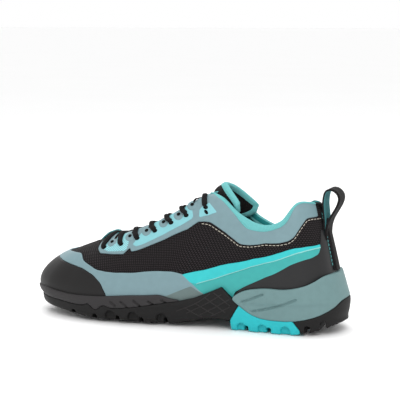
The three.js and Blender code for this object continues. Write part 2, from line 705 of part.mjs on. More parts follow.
// The film round the whole upper in the upper's own facets, and the side view of the sole
const FILM_SHELL = manifoldOf(sheet(shellGrid(() => SEAT + FILM), shellGrid(() => SEAT), true));
const SOLE_SIDE = sidePrism([
  ...sidePoints(MIDSOLE_RIM, 0, GAP),
  ...sidePoints(ARCH_WING.slice(0, 3), 0, GAP),
  ...sidePoints(WEDGE_TOP.slice(1), 0, GAP),
  corner(-0.04, BELOW),
  corner(BEYOND, BELOW),
]);

// A cutter that stands through the film; grow moves its outline outwards on the flank
function cutter(rows, grow) {
  const depth = 3;
  const columns = 4;
  const last = rows.length - 1;
  const way = Math.sign(rows[last].turn - rows[0].turn);
  const ends = { 0: -way * grow, [last]: way * grow };
  const grid = (lift) => rows.map((row, i) => Array.from({ length: columns + 1 }, (_, j) => {
    const turn = row.turn + TURN_SHARE * (ends[i] ?? 0);
    const low = row.low === 0 ? 0 : row.low - grow;
    const high = row.high === 1 ? 1 : row.high + grow;
    return skin(turn, THREE.MathUtils.lerp(low, high, j / columns), lift);
  }));
  return manifoldOf(sheet(grid(depth), grid(-2)));
}

const film = (rows) => FILM_SHELL.intersect(cutter(rows, -EDGE_GAP)).subtract(SOLE_SIDE);

// A point on the facets of the upper, not on its smooth form, so that a clearance stays true
function onFacet(turn, up, liftAt) {
  const columns = [...turns(AROUND), 2];
  const at = THREE.MathUtils.euclideanModulo(turn, 2);
  const i = columns.findIndex((_, k) => at < columns[k + 1]);
  const level = Math.min(Math.floor(up * UPWARD + 1e-6), UPWARD - 1);
  const share = (at - columns[i]) / (columns[i + 1] - columns[i]);
  const rise = up * UPWARD - level;
  const point = (column, row) => skin(column, row / UPWARD, liftAt(column, row / UPWARD));
  const near = point(columns[i], level).lerp(point(columns[i], level + 1), rise);
  const far = point(columns[i + 1], level).lerp(point(columns[i + 1], level + 1), rise);
  return near.lerp(far, share);
}

// Binding folded over the collar edge: a channel from the inner throat corner round the heel
const BINDING_INSIDE = 1 - 1 / UPWARD;
const BINDING_END = BINDING[BINDING.length - 1].turn;
const BINDING_TURNS = [...new Set([
  ...BINDING.map(({ turn }) => turn), ...turns(AROUND).filter((turn) => turn < BINDING_END),
])].sort((a, b) => a - b);
const BINDING_PLACES = acrossHeel(BINDING_TURNS.map((turn) => (
  { turn, low: between(BINDING, 'turn', turn, 'low') })));

// The shares of the flank where the binding's outside has its points
function bindingShares(low) {
  const knee = low < BINDING_INSIDE ? BINDING_INSIDE : (1 + low) / 2;
  return [low, knee, 1];
}

function collarBinding() {
  const channel = (lift) => BINDING_PLACES.map(({ turn, low }) => {
    const inside = (up) => onFacet(turn, up, (column, row) => -wallAt(column, row) - lift);
    const outside = bindingShares(low).map((up) => onFacet(turn, up, () => lift));
    const rising = lastPoint(turn, 1).sub(lastPoint(turn, 0.95)).setLength(lift);
    outside[outside.length - 1].add(rising);
    return [...outside, inside(1).add(rising), inside(BINDING_INSIDE)];
  });
  return sheet(channel(SEAT + FILM), channel(SEAT));
}

// What the film leaves free for the binding
function bindingSpace() {
  const strip = (lift) => BINDING_PLACES.map(({ turn, low }) => bindingShares(low - 3 * EDGE_GAP)
    .map((up) => onFacet(turn, up, () => lift)));
  return manifoldOf(sheet(strip(3 * FILM), strip(0)));
}

// Laces: eyelets on the inner side as turn and share of the flank, front to back. The first row
// holds the outer eyelets and the second the inner ones nearer to the throat.
const CORD = { radius: 2.1, sides: 6, steps: 5 };
const CORD_LIFT = SEAT + FILM + 4 * GAP + CORD.radius;
const OUTER_EYELETS = table(['turn', 'up'], [
  [0.803, 0.59], [0.74, 0.58], [0.698, 0.59], [0.655, 0.62], [0.618, 0.65], [0.58, 0.69],
  [0.532, 0.76],
]);
const INNER_EYELETS = table(['turn', 'up'], [
  [0.782, 0.7], [0.729, 0.7], [0.682, 0.72], [0.64, 0.75], [0.606, 0.78], [0.566, 0.84],
]);

// A round cord along points, closed at both ends
function cord(points, { radius, sides, steps }) {
  const curve = new THREE.CatmullRomCurve3(points);
  const frames = curve.computeFrenetFrames(steps);
  const rings = Array.from({ length: steps + 1 }, (_, i) => {
    const centre = curve.getPointAt(i / steps);
    return Array.from({ length: sides }, (__, k) => {
      const angle = 2 * Math.PI * (k + 0.5) / sides;
      return centre.clone()
        .addScaledVector(frames.normals[i], radius * Math.cos(angle))
        .addScaledVector(frames.binormals[i], radius * Math.sin(angle));
    });
  });
  return stack(rings, 1, asIs, asIs);
}

// One strand from an eyelet on the side where it starts, over the throat, to the other side
function strand(from, to, side) {
  const place = (eyelet, share, far) => {
    const turn = THREE.MathUtils.lerp(from.turn, to.turn, far ? 1 - share / 2 : share / 2);
    const up = THREE.MathUtils.lerp(eyelet.up, 1, share);
    return skin((side > 0) === far ? 2 - turn : turn, up, CORD_LIFT);
  };
  const shares = [0, 0.35, 0.7, 0.9];
  return manifoldOf(cord([
    ...shares.map((share) => place(from, share, false)),
    ...[...shares].reverse().map((share) => place(to, share, true)),
  ], CORD));
}

function laces() {
  const bar = strand(OUTER_EYELETS[0], OUTER_EYELETS[0], 1);
  const crossings = INNER_EYELETS.map((eyelet, i) => strand(eyelet, OUTER_EYELETS[i + 1], 1)
    .add(strand(eyelet, OUTER_EYELETS[i + 1], -1)));
  return [bar, ...crossings];
}

// Webbing bent in side view: rows along a path of x and z, with straight edges at both sides
function webbing(path, width, thick, steps) {
  const curve = new THREE.SplineCurve(path.map(([x, z]) => new THREE.Vector2(x, z)));
  const face = (lift) => Array.from({ length: steps + 1 }, (_, i) => {
    const tangent = curve.getTangent(i / steps);
    const point = curve.getPoint(i / steps);
    const [x, z] = [point.x - tangent.y * lift, point.y + tangent.x * lift];
    return [-0.5, 0.5].map((share) => new THREE.Vector3(x, share * width, z));
  });
  return manifoldOf(sheet(face(0), face(thick)));
}

const LOOP = { width: 18, thick: 1.6, steps: 18 };
// Inner face of the loop, measured from the top end of the strap
const LOOP_PATH = [
  [-4.4, -13.5], [-6.2, -7.5], [-8.4, -2.5], [-11.4, 3.5], [-13.8, 9], [-13.2, 14.5],
  [-9, 19.5], [-4.5, 19.5], [-2, 15], [-1.6, 8.5], [-2.6, 0.5], [-4.2, -6.5], [-5, -11.5],
];
const STRAP = { top: 0.8, half: 0.032, steps: 6 };

// Pull loop: a strap that follows the back of the heel, and the loop that stands on its top
function pullLoop() {
  const rim = HEEL_STACK * WEDGE_TOP[WEDGE_TOP.length - 1].level;
  const bottom = upAtHeight(0, rim + 2);
  const grid = (lift) => Array.from({ length: STRAP.steps + 1 }, (_, i) => {
    const up = THREE.MathUtils.lerp(bottom, STRAP.top, i / STRAP.steps);
    return [-1, 0, 1].map((side) => skin(side * STRAP.half, up, lift));
  });
  const seat = SEAT + FILM + GAP;
  const strap = manifoldOf(sheet(grid(seat + LOOP.thick), grid(seat)));
  const end = skin(0, STRAP.top, seat);
  const path = LOOP_PATH.map(([x, z]) => [end.x + x, end.z + z]);
  return strap.add(webbing(path, LOOP.width, LOOP.thick, LOOP.steps));
}

const KEEPER = { width: 11, thick: 1.2, steps: 6 };
// Shares of the length and of the instep's height
const KEEPER_PATH = [
  [0.8, 0.568], [0.786, 0.605], [0.766, 0.636], [0.748, 0.632], [0.7375, 0.6],
].map(([along, level]) => [along * LENGTH, level * INSTEP_HEIGHT]);

// Colours as seen, with roughness
const LOOKS = {
  mesh: { color: 0x2b2628, roughness: 0.9 },
  film: { color: 0x809ba3, roughness: 0.55 },
  foam: { color: 0x7a9799, roughness: 0.7 },
  rubber: { color: 0x343233, roughness: 0.8 },
  black_foam: { color: 0x3a3839, roughness: 0.75 },
  turquoise_rubber: { color: 0x35c8cf, roughness: 0.6 },
  board: { color: 0x202224, roughness: 0.95 },
  satin: { color: 0x3d3b3c, roughness: 0.6 },
  turquoise: { color: 0x45d3d6, roughness: 0.5 },
  light: { color: 0x8fdde3, roughness: 0.5 },
  binding: { color: 0x75cfcd, roughness: 0.85 },
  cord: { color: 0x222021, roughness: 0.9 },
};

const shoe = new THREE.Group();

function addPart(name, look, geometry) {
  const material = new THREE.MeshStandardMaterial({ metalness: 0, ...LOOKS[look] });
  const mesh = new THREE.Mesh(geometry, material);
  mesh.name = name;
  shoe.add(mesh);
}

const SOLE_LOOKS = {
  midsole: 'black_foam',
  outsole_forefoot: 'rubber',
  heel_wedge: 'foam',
  heel_block: 'turquoise_rubber',
  outsole_heel: 'rubber',
};
for (const [name, solid] of Object.entries(soleParts())) {
  addPart(name, SOLE_LOOKS[name], geometryOf(solid));
}
addPart('upper', 'mesh', upperShell());
addPart('insole', 'board', insoleBoard());
addPart('tongue', 'mesh', tonguePad());
addPart('toe_cap', 'satin', geometryOf(film(acrossToe(TOE_CAP))));
addPart('vamp_band', 'film', geometryOf(film(acrossToe(BAND))));
addPart('heel_counter', 'satin', geometryOf(film(acrossHeel(COUNTER))));
for (const [side, placed] of [['inner', asIs], ['outer', onOuterSide]]) {
  const window = cutter(placed(WINDOW), 2 * EDGE_GAP);
  addPart(`quarter_wing_${side}`, 'turquoise', geometryOf(film(placed(WING))));
  addPart(`collar_panel_${side}`, 'film', geometryOf(
    film(placed(COLLAR_PANEL)).subtract(bindingSpace())));
  addPart(`eyestay_${side}`, 'film', geometryOf(film(placed(EYESTAY)).subtract(window)));
  addPart(`window_${side}`, 'light', geometryOf(film(placed(WINDOW))));
}
addPart('collar_binding', 'binding', collarBinding());
laces().forEach((lace, i) => addPart(`lace_${i + 1}`, 'cord', geometryOf(lace)));
addPart('lace_keeper', 'binding', geometryOf(
  webbing(KEEPER_PATH, KEEPER.width, KEEPER.thick, KEEPER.steps)));
addPart('pull_loop', 'cord', geometryOf(pullLoop()));

const bounds = new THREE.Box3().setFromObject(shoe);
const middle = bounds.getCenter(new THREE.Vector3());
shoe.position.set(-middle.x, -middle.y, -bounds.min.z);

export default shoe;
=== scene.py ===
"""Looks of the approach shoe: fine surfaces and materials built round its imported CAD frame.

Lengths are in millimetres in the last's own axes (x from the rear of the sole to the toe, y to
the inner side of the foot, z up) and become metres in the frame when a mesh is made.
"""

import math

import bmesh
import bpy
import numpy as np
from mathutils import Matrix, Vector
from mathutils.bvhtree import BVHTree


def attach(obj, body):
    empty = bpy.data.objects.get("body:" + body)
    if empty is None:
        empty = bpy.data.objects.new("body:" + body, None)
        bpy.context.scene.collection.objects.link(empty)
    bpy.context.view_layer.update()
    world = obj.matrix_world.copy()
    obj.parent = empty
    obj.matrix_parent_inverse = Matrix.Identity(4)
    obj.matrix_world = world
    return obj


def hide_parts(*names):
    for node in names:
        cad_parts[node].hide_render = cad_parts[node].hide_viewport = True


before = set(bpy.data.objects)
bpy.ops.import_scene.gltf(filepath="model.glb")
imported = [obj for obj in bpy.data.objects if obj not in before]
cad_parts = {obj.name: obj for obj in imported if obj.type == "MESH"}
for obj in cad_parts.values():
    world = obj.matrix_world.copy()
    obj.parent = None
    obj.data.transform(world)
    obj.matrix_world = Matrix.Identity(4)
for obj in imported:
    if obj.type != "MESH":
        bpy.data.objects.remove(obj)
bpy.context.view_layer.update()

MM = 0.001
# Where the rear of the sole and the middle line of the last lie in the frame
SHIFT = np.array([-140.65, 1.22, 0.0])

LENGTH = 280.0
BALL_WIDTH = 98.0
COLLAR_HEIGHT = 106.0
INSTEP_HEIGHT = 110.0
HEEL_STACK = 25.0
BALL_STACK = 13.5
TOE_SPRING = 8.2
HEEL_BEVEL = 10.5
EDGE_RISE = 3.5
SOLE_FLARE = 6.5
WALL = 2.0
COLLAR_PAD = 5.5
INSOLE = 3.5
TREAD_DEPTH = 5.0

# ---------------------------------------------------------------- the last
# foot, inner, outer, top, inner, outer, rise inner, rise outer, round, low swelling, high swelling
COLLAR_SECTIONS = [
    (0.029, 0, 0, 0.089, 0, 0, 0.981, 0.981, 1.1, 0.010, -0.010),
    (0.052, 0.179, 0.179, 0.102, 0.112, 0.112, 1, 0.972, 1.1, 0.026, -0.003),
    (0.114, 0.290, 0.290, 0.139, 0.224, 0.214, 1.005, 0.962, 1.15, 0.036, 0.005),
    (0.207, 0.306, 0.316, 0.179, 0.286, 0.280, 0.868, 0.783, 1.25, 0.039, 0.010),
    (0.304, 0.301, 0.352, 0.236, 0.301, 0.301, 0.833, 0.731, 1.25, 0.036, 0.010),
    (0.396, 0.311, 0.398, 0.307, 0.265, 0.280, 0.901, 0.811, 1.25, 0.036, 0.015),
]
THROAT_SECTIONS = [
    (0.489, 0.352, 0.434, 0.375, 0.184, 0.224, 0.982, 0.932, 1.25, 0.041, 0.031),
    (0.582, 0.403, 0.459, 0.436, 0.122, 0.163, 0.995, 0.955, 1.3, 0.046, 0.036),
    (0.675, 0.434, 0.454, 0.521, 0.107, 0.143, 0.886, 0.841, 1.35, 0.051, 0.036),
    (0.764, 0.429, 0.403, 0.607, 0.097, 0.133, 0.777, 0.741, 1.4, 0.056, 0.036),
    (0.850, 0.378, 0.316, 0.693, 0.087, 0.112, 0.673, 0.650, 1.45, 0.061, 0.031),
    (0.931, 0.270, 0.215, 0.757, 0.066, 0.082, 0.594, 0.582, 1.55, 0.071, 0.020),
    (0.977, 0.055, -0.045, 0.793, 0, 0, 0.545, 0.545, 1.6, 0.087, 0.015),
]
BED = {"along": [0, 0.14, 0.28, 0.42, 0.56, 0.70, 0.85, 0.98],
       "heel": [1, 1, 0.87, 0.45, 0.1, 0, 0, 0],
       "ball": [0, 0, 0.13, 0.55, 0.9, 1, 1, 1],
       "spring": [0, 0, 0, 0, 0, 0, 0.12, 0.52]}
GROUND = {"along": [0, 0.04, 0.08, 0.14, 0.32, 0.45, 0.55, 0.76, 0.82, 0.88, 0.94, 1],
          "bevel": [1, 0.65, 0.30, 0, 0, 0, 0, 0, 0, 0, 0, 0],
          "spring": [0, 0, 0, 0, 0, 0, 0, 0, 0.20, 0.43, 0.70, 1],
          "edge": [0, 0.05, 0.10, 0.15, 0.15, 0.8, 1, 1, 1, 1, 0.8, 0]}
SIDE_LEVELS = {"level": [-0.78, -0.42, 0, 0.3, 0.65, 1],
               "out": [0.84, 1, 1.08, 0.84, 0.67, 0.5]}
FLARES = {"turn": [0, 0.1, 0.2, 0.35, 0.5, 0.65, 0.8, 0.92, 1],
          "swell": [1.23, 1.12, 1, 0.95, 0.8, 0.75, 0.72, 0.58, 0.42],
          "tread": [0.9, 0.85, 0.6, 0.5, 0.5, 0.5, 0.5, 0.5, 0.45]}
RIM_TOPS = {"along": [0, 0.05, 0.12, 0.2, 0.35, 0.45, 0.55, 0.75, 1],
            "stack": [2.3, 2.3, 1.9, 1.75, 1.7, 1.45, 1.3, 1.15, 1.15]}


def between(rows, key, at, name):
    """A table's column at a place, with its corners eased."""
    width = 0.012
    places = [np.asarray(at) + k * width for k in (-1, -0.5, 0, 0.5, 1)]
    return sum(np.interp(place, rows[key], rows[name]) for place in places) / len(places)


def bed_at(x):
    along = x / LENGTH
    return (HEEL_STACK * between(BED, "along", along, "heel")
            + BALL_STACK * between(BED, "along", along, "ball")
            + TOE_SPRING * between(BED, "along", along, "spring"))


def ground_at(x, across):
    along = x / LENGTH
    flat = 0.45
    to_edge = np.maximum(0, (np.abs(across) - flat) / (1 - flat))
    return (HEEL_BEVEL * between(GROUND, "along", along, "bevel")
            + TOE_SPRING * between(GROUND, "along", along, "spring")
            + EDGE_RISE * between(GROUND, "along", along, "edge") * to_edge ** 2)


def station(row, height, side):
    foot, inner, outer, top, top_inner, top_outer, rise_inner, rise_outer, rnd, low, high = row
    at_inner = side > 0
    return (foot * LENGTH, side * BALL_WIDTH * (inner if at_inner else outer), top * LENGTH,
            side * BALL_WIDTH * (top_inner if at_inner else top_outer),
            height * (rise_inner if at_inner else rise_outer), rnd,
            low * BALL_WIDTH, high * BALL_WIDTH)


SECTIONS = ([(row, COLLAR_HEIGHT) for row in COLLAR_SECTIONS]
            + [(row, INSTEP_HEIGHT) for row in THROAT_SECTIONS])
TOE = len(SECTIONS) - 1
RING = np.array([station(*section, 1) for section in SECTIONS]
                + [station(*section, -1) for section in SECTIONS[TOE - 1:0:-1]])


def ring_at(turn):
    """The last's section at a turn: 0 at the heel, 1 at the toe by the inner side, 2 at the heel."""
    place = np.mod(np.asarray(turn, float) * TOE, len(RING))
    i = np.floor(place).astype(int)
    t = (place - i)[..., None]
    a, b, c, d = (RING[(i + k) % len(RING)] for k in (-1, 0, 1, 2))
    values = 0.5 * (2 * b + (c - a) * t + (2 * a - 5 * b + 4 * c - d) * t ** 2
                    + (3 * b - a - 3 * c + d) * t ** 3)
    return np.moveaxis(values, -1, 0)


def unit(v):
    return v / np.linalg.norm(v, axis=-1, keepdims=True)


def outward_at(turn):
    step = 0.001
    before, after = ring_at(turn - step), ring_at(turn + step)
    flat = np.zeros_like(before[0])
    return unit(np.stack([before[1] - after[1], after[0] - before[0], flat], -1))


def last_point(turn, up):
    turn, up = np.broadcast_arrays(np.asarray(turn, float), np.asarray(up, float))
    foot_x, foot_y, top_x, top_y, top_z, rnd, low, high = ring_at(turn)
    angle = np.clip(up, 0, 1) * math.pi / 2
    inward = 1 - np.cos(angle) ** (2 / rnd)
    rise = np.sin(angle) ** (2 / rnd)
    swell = 6.75 * up * (1 - up) * (low * (1 - up) + high * up)
    bed = bed_at(foot_x)
    point = np.stack([foot_x + (top_x - foot_x) * inward, foot_y + (top_y - foot_y) * inward,
                      bed + (top_z - bed) * rise], -1)
    return point + outward_at(turn) * swell[..., None]


def last_normal(turn, up):
    reach = 0.04
    turn, up = np.broadcast_arrays(np.asarray(turn, float), np.asarray(up, float))
    around = last_point(turn + reach / 4, up) - last_point(turn - reach / 4, up)
    rising = (last_point(turn, np.minimum(up + reach, 1))
              - last_point(turn, np.maximum(up - reach, 0)))
    return unit(np.cross(rising, around))


def skin(turn, up, lift):
    return last_point(turn, up) + last_normal(turn, up) * np.asarray(lift, float)[..., None]


def up_at_height(turn, z):
    foot_x, _, _, _, top_z, rnd, _, _ = ring_at(turn)
    bed = bed_at(foot_x)
    rise = np.clip((z - bed) / (top_z - bed), 0, 1)
    return np.arcsin(rise ** (rnd / 2)) / (math.pi / 2)


def smoothstep(x, low, high):
    t = np.clip((x - low) / (high - low), 0, 1)
    return t * t * (3 - 2 * t)


def wall_at(turn, up):
    turn = np.mod(turn, 2)
    from_heel = np.minimum(turn, 2 - turn)
    rear = 1 - smoothstep(from_heel, 0.44, 0.58)
    return WALL + (COLLAR_PAD - WALL) * rear * smoothstep(up, 0.55, 0.85)


# Where the visible upper ends along the throat, below the last's own edge
THROAT_EDGE = np.array([
    (0.5, 1), (0.53, 0.97), (0.56, 0.9), (0.583, 0.835), (0.607, 0.78), (0.643, 0.75),
    (0.683, 0.725), (0.73, 0.715), (0.781, 0.72), (0.82, 0.8), (0.86, 0.93), (0.9, 1)])


OUTER_EDGE_DROP = 0.07


def edge_at(turn):
    """The throat's edge; the outer side's lies a little lower, as the instep leans inward."""
    turn = np.mod(turn, 2)
    edge = np.interp(np.minimum(turn, 2 - turn), *THROAT_EDGE.T)
    return edge - np.where(turn > 1, OUTER_EDGE_DROP * np.clip((1 - edge) / 0.2, 0, 1), 0)


def rising_at(turn):
    return unit(last_point(turn, 1.0) - last_point(turn, 0.95))


# ---------------------------------------------------------------- mesh helpers
def spline(points, count):
    """Even steps along a smooth curve through the points."""
    p = np.asarray(points, float)
    ends = [2 * p[0] - p[1], *p, 2 * p[-1] - p[-2]]
    fine = []
    for a, b, c, d in zip(ends, ends[1:], ends[2:], ends[3:]):
        for t in np.linspace(0, 1, 24, endpoint=False):
            fine.append(0.5 * (2 * b + (c - a) * t + (2 * a - 5 * b + 4 * c - d) * t * t
                               + (3 * b - a - 3 * c + d) * t ** 3))
    fine = np.array([*fine, p[-1]])
    way = np.concatenate([[0], np.cumsum(np.linalg.norm(np.diff(fine, axis=0), axis=1))])
    at = np.linspace(0, way[-1], count)
    return np.stack([np.interp(at, way, fine[:, k]) for k in range(p.shape[1])], -1)


def grid_faces(rows, columns, ring_rows=False, ring_columns=False):
    i = np.arange(rows if ring_rows else rows - 1)[:, None]
    j = np.arange(columns if ring_columns else columns - 1)[None, :]
    corner = [(i % rows) * columns + j % columns,
              (i % rows) * columns + (j + 1) % columns,
              ((i + 1) % rows) * columns + (j + 1) % columns,
              ((i + 1) % rows) * columns + j % columns]
    return np.stack([c + 0 * i + 0 * j for c in corner], -1).reshape(-1, 4)


def make(name, points, faces, material, uv=None, smooth=True, flip=False):
    """A mesh object from points in millimetres; uv is given for each point, in millimetres."""
    faces = np.asarray(faces)
    if flip:
        faces = faces[:, ::-1]
    mesh = bpy.data.meshes.new(name)
    mesh.from_pydata(((np.asarray(points).reshape(-1, 3) + SHIFT) * MM).tolist(), [],
                     faces.tolist())
    if uv is not None:
        layer = mesh.uv_layers.new(name="UVMap")
        corners = np.zeros(len(mesh.loops), int)
        mesh.loops.foreach_get("vertex_index", corners)
        layer.data.foreach_set("uv", np.asarray(uv).reshape(-1, 2)[corners].ravel())
    mesh.polygons.foreach_set("use_smooth", [smooth] * len(mesh.polygons))
    mesh.validate()
    mesh.materials.append(material)
    obj = bpy.data.objects.new(name, mesh)
    bpy.context.collection.objects.link(obj)
    return obj


def piece(obj, slot, *nodes):
    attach(obj, "root")
    if nodes:
        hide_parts(*nodes)
    return obj


def lengths_uv(points):
    """A uv in millimetres for a grid: v along each row, u from row to row."""
    v = np.cumsum(np.linalg.norm(np.diff(points, axis=1, prepend=points[:, :1]), axis=2), axis=1)
    middle = points[:, points.shape[1] // 3]
    u = np.cumsum(np.linalg.norm(np.diff(middle, axis=0, prepend=middle[:1]), axis=1))
    return np.stack([u[:, None] + 0 * v, v], -1)


def evaluated(obj):
    """Applies the object's modifiers to its mesh."""
    graph = bpy.context.evaluated_depsgraph_get()
    mesh = bpy.data.meshes.new_from_object(obj.evaluated_get(graph))
    obj.modifiers.clear()
    obj.data = mesh
    return obj


# ---------------------------------------------------------------- materials
def linear(code):
    parts = [int(code[i:i + 2], 16) / 255 for i in (0, 2, 4)]
    return [p / 12.92 if p <= 0.04045 else ((p + 0.055) / 1.055) ** 2.4 for p in parts]


class Look:
    """A node material with a tinted base and a bump built from layers of height."""

    def __init__(self, name, color, roughness, sheen=0.0, coat=0.0, specular=0.5):
        self.material = bpy.data.materials.new(name)
        self.material.use_nodes = True
        self.tree = self.material.node_tree
        self.shader = self.tree.nodes["Principled BSDF"]
        self.color = linear(color)
        self.shader.inputs["Base Color"].default_value = (*self.color, 1)
        self.shader.inputs["Roughness"].default_value = roughness
        self.shader.inputs["Sheen Weight"].default_value = sheen
        self.shader.inputs["Coat Weight"].default_value = coat
        self.shader.inputs["Specular IOR Level"].default_value = specular
        self.heights = []
        self.color_out = None

    def node(self, kind, **settings):
        node = self.tree.nodes.new(kind)
        for key, value in settings.items():
            setattr(node, key, value)
        return node

    def link(self, a, b):
        self.tree.links.new(a, b)

    def math(self, operation, a, b=0.0):
        node = self.node("ShaderNodeMath", operation=operation)
        for socket, value in zip(node.inputs, (a, b)):
            if isinstance(value, (int, float)):
                socket.default_value = value
            else:
                self.link(value, socket)
        return node.outputs[0]

    def coordinates(self, kind):
        """Object coordinates or the uv, both in millimetres."""
        source = self.node("ShaderNodeTexCoord").outputs[kind]
        if kind == "UV":
            return source
        scaled = self.node("ShaderNodeVectorMath", operation="SCALE")
        scaled.inputs["Scale"].default_value = 1 / MM
        self.link(source, scaled.inputs[0])
        return scaled.outputs[0]

    def noise(self, size, detail=3.0, kind="Object"):
        node = self.node("ShaderNodeTexNoise")
        node.inputs["Scale"].default_value = 1 / size
        node.inputs["Detail"].default_value = detail
        self.link(self.coordinates(kind), node.inputs["Vector"])
        return node.outputs["Fac"]

    def tint(self, factor, dark, light):
        """Multiplies the colour by a ramp from dark to light, driven by a factor."""
        ramp = self.node("ShaderNodeValToRGB")
        ramp.color_ramp.elements[0].position = 0.3
        ramp.color_ramp.elements[1].position = 0.7
        for element, share in zip(ramp.color_ramp.elements, (dark, light)):
            element.color = (*[min(c * share, 1) for c in self.color], 1)
        self.link(factor, ramp.inputs["Fac"])
        self.link(ramp.outputs["Color"], self.shader.inputs["Base Color"])
        return self

    def bump(self, height, strength, distance):
        node = self.node("ShaderNodeBump")
        node.inputs["Strength"].default_value = strength
        node.inputs["Distance"].default_value = distance * MM
        self.link(height, node.inputs["Height"])
        if self.heights:
            self.link(self.heights[-1], node.inputs["Normal"])
        self.heights.append(node.outputs["Normal"])
        self.link(node.outputs["Normal"], self.shader.inputs["Normal"])
        return self

    def waves(self, pitch_u, pitch_v, shift=0.5):
        """Knit or weave: bright cells in rows, each row moved by a share of the pitch."""
        split = self.node("ShaderNodeSeparateXYZ")
        self.link(self.coordinates("UV"), split.inputs[0])
        row = self.math("MULTIPLY", split.outputs["Y"], 1 / pitch_v)
        odd = self.math("MODULO", self.math("FLOOR", row), 2.0)
        along = self.math("ADD", self.math("MULTIPLY", split.outputs["X"], 1 / pitch_u),
                          self.math("MULTIPLY", odd, shift))
        ripple = self.math("ABSOLUTE", self.math("SINE", self.math("MULTIPLY", along, math.pi)))
        rib = self.math("ABSOLUTE", self.math("SINE", self.math("MULTIPLY", row, math.pi)))
        return self.math("MULTIPLY", ripple, rib)


def moulded(name, color, roughness, grain=0.35, **more):
    look = Look(name, color, roughness, **more)
    look.tint(look.noise(5, 5), 0.965, 1.035)
    look.bump(look.noise(grain, 2), 0.35, 0.15)
    look.bump(look.noise(14, 2), 0.15, 0.5)
    return look.material


def woven(name, color, roughness, pitch_u, pitch_v, depth, dark=0.72, light=1.25, **more):
    look = Look(name, color, roughness, **more)
    cells = look.waves(pitch_u, pitch_v)
    look.tint(cells, dark, light)
    look.bump(cells, 0.8, depth)
    look.bump(look.noise(6, 3), 0.2, 0.5)
    return look.material


def ribbed(name, color, dark, light):
    look = Look(name, color, 0.42, specular=0.3)
    split = look.node("ShaderNodeSeparateXYZ")
    look.link(look.coordinates("UV"), split.inputs[0])
    slanted = look.math("ADD", split.outputs["X"], look.math("MULTIPLY", split.outputs["Y"], 0.6))
    wave = look.math("SINE", look.math("MULTIPLY", slanted, 2 * math.pi / 2.4))
    rib = look.math("ADD", look.math("MULTIPLY", wave, 0.5), 0.5)
    look.tint(rib, dark, light)
    look.bump(rib, 0.6, 0.25)
    return look.material


KNIT = woven("knit", "161314", 0.85, 2.3, 1.6, 0.6, 0.2, 3.4, sheen=0.03, specular=0.15)
LINING = woven("lining", "1f7f80", 0.9, 1.1, 0.9, 0.3, 0.75, 1.2, sheen=0.05, specular=0.15)
TOE_FILM = moulded("toe_film", "141313", 0.5, 0.5, specular=0.25)
GREY_FILM = moulded("grey_film", "6e888e", 0.42, 0.6, specular=0.3)
FOLD_FILM = moulded("fold_film", "5d6d6c", 0.45, 0.6, specular=0.3)
WING_TOP = moulded("wing_top", "2db2b5", 0.4, 0.6, specular=0.3)
WING_LOW = moulded("wing_low", "359a97", 0.42, 0.6, specular=0.3)
WING_LINE = moulded("wing_line", "7fbdb9", 0.4, 0.6, specular=0.3)
LIGHT_FILM = moulded("light_film", "78b3ba", 0.42, 0.6, specular=0.3)
COUNTER_FILM = moulded("counter_film", "1c1c1d", 0.4, 0.4, specular=0.3)
BINDING_KNIT = woven("binding_knit", "68b3b3", 0.85, 1.1, 0.9, 0.25, 0.84, 1.14, sheen=0.05,
                     specular=0.15)
TONGUE_KNIT = woven("tongue_knit", "151314", 0.9, 1.4, 1.2, 0.4, 0.4, 1.9, sheen=0.03,
                    specular=0.12)
CORD_WEAVE = woven("cord_weave", "131213", 0.85, 1.5, 1.1, 0.4, 0.4, 2.2, sheen=0.03,
                   specular=0.15)
WEBBING = woven("webbing", "151314", 0.85, 1.5, 2.0, 0.45, 0.4, 2.0, sheen=0.03, specular=0.15)
WEBBING_TEAL = woven("webbing_teal", "4b9296", 0.85, 1.5, 2.0, 0.4, 0.7, 1.2, sheen=0.05,
                     specular=0.15)
LOOP_LIGHT = woven("loop_light", "6cb2b6", 0.8, 1.2, 1.4, 0.3, 0.8, 1.15, sheen=0.05,
                   specular=0.15)
# Painted highlight: the moulded ribs get a lighter black than the rubber around them, for the light on
# their crests
HIGHLIT_RUBBER_RIB = moulded("highlit_rubber_rib", "211f1f", 0.6, 0.5, specular=0.3)
RUBBER = moulded("rubber", "131212", 0.6, 0.5, specular=0.22)
BLACK_FOAM = moulded("black_foam", "282627", 0.6, 0.7, specular=0.3)
GREY_FOAM = moulded("grey_foam", "637f80", 0.55, 0.8, specular=0.3)
TURQUOISE_RUBBER = moulded("turquoise_rubber", "1fabb2", 0.5, 0.6, specular=0.3)
BOARD = woven("board", "151618", 0.9, 1.4, 1.4, 0.3, 0.6, 1.5, specular=0.15)
THREAD_PALE = woven("thread_pale", "bdb6a8", 0.8, 0.3, 0.3, 0.05)
THREAD_TEAL = woven("thread_teal", "58a0a1", 0.8, 0.3, 0.3, 0.05)
RIBBED_FILM = ribbed("ribbed_film", "7fb6bc", 0.72, 1.3)
# Painted shade: a near-black colour for the discs on the eyelets, standing in for the shade inside
# holes that are not cut
HOLE_SHADE = moulded("hole", "080808", 0.8, specular=0.1)

# ---------------------------------------------------------------- upper
AROUND = 420
UPWARD = 72
END_DENSITY = 0.25


def turns(steps):
    t = np.arange(2 * steps) / steps
    return t - END_DENSITY * np.sin(2 * math.pi * t) / (2 * math.pi)


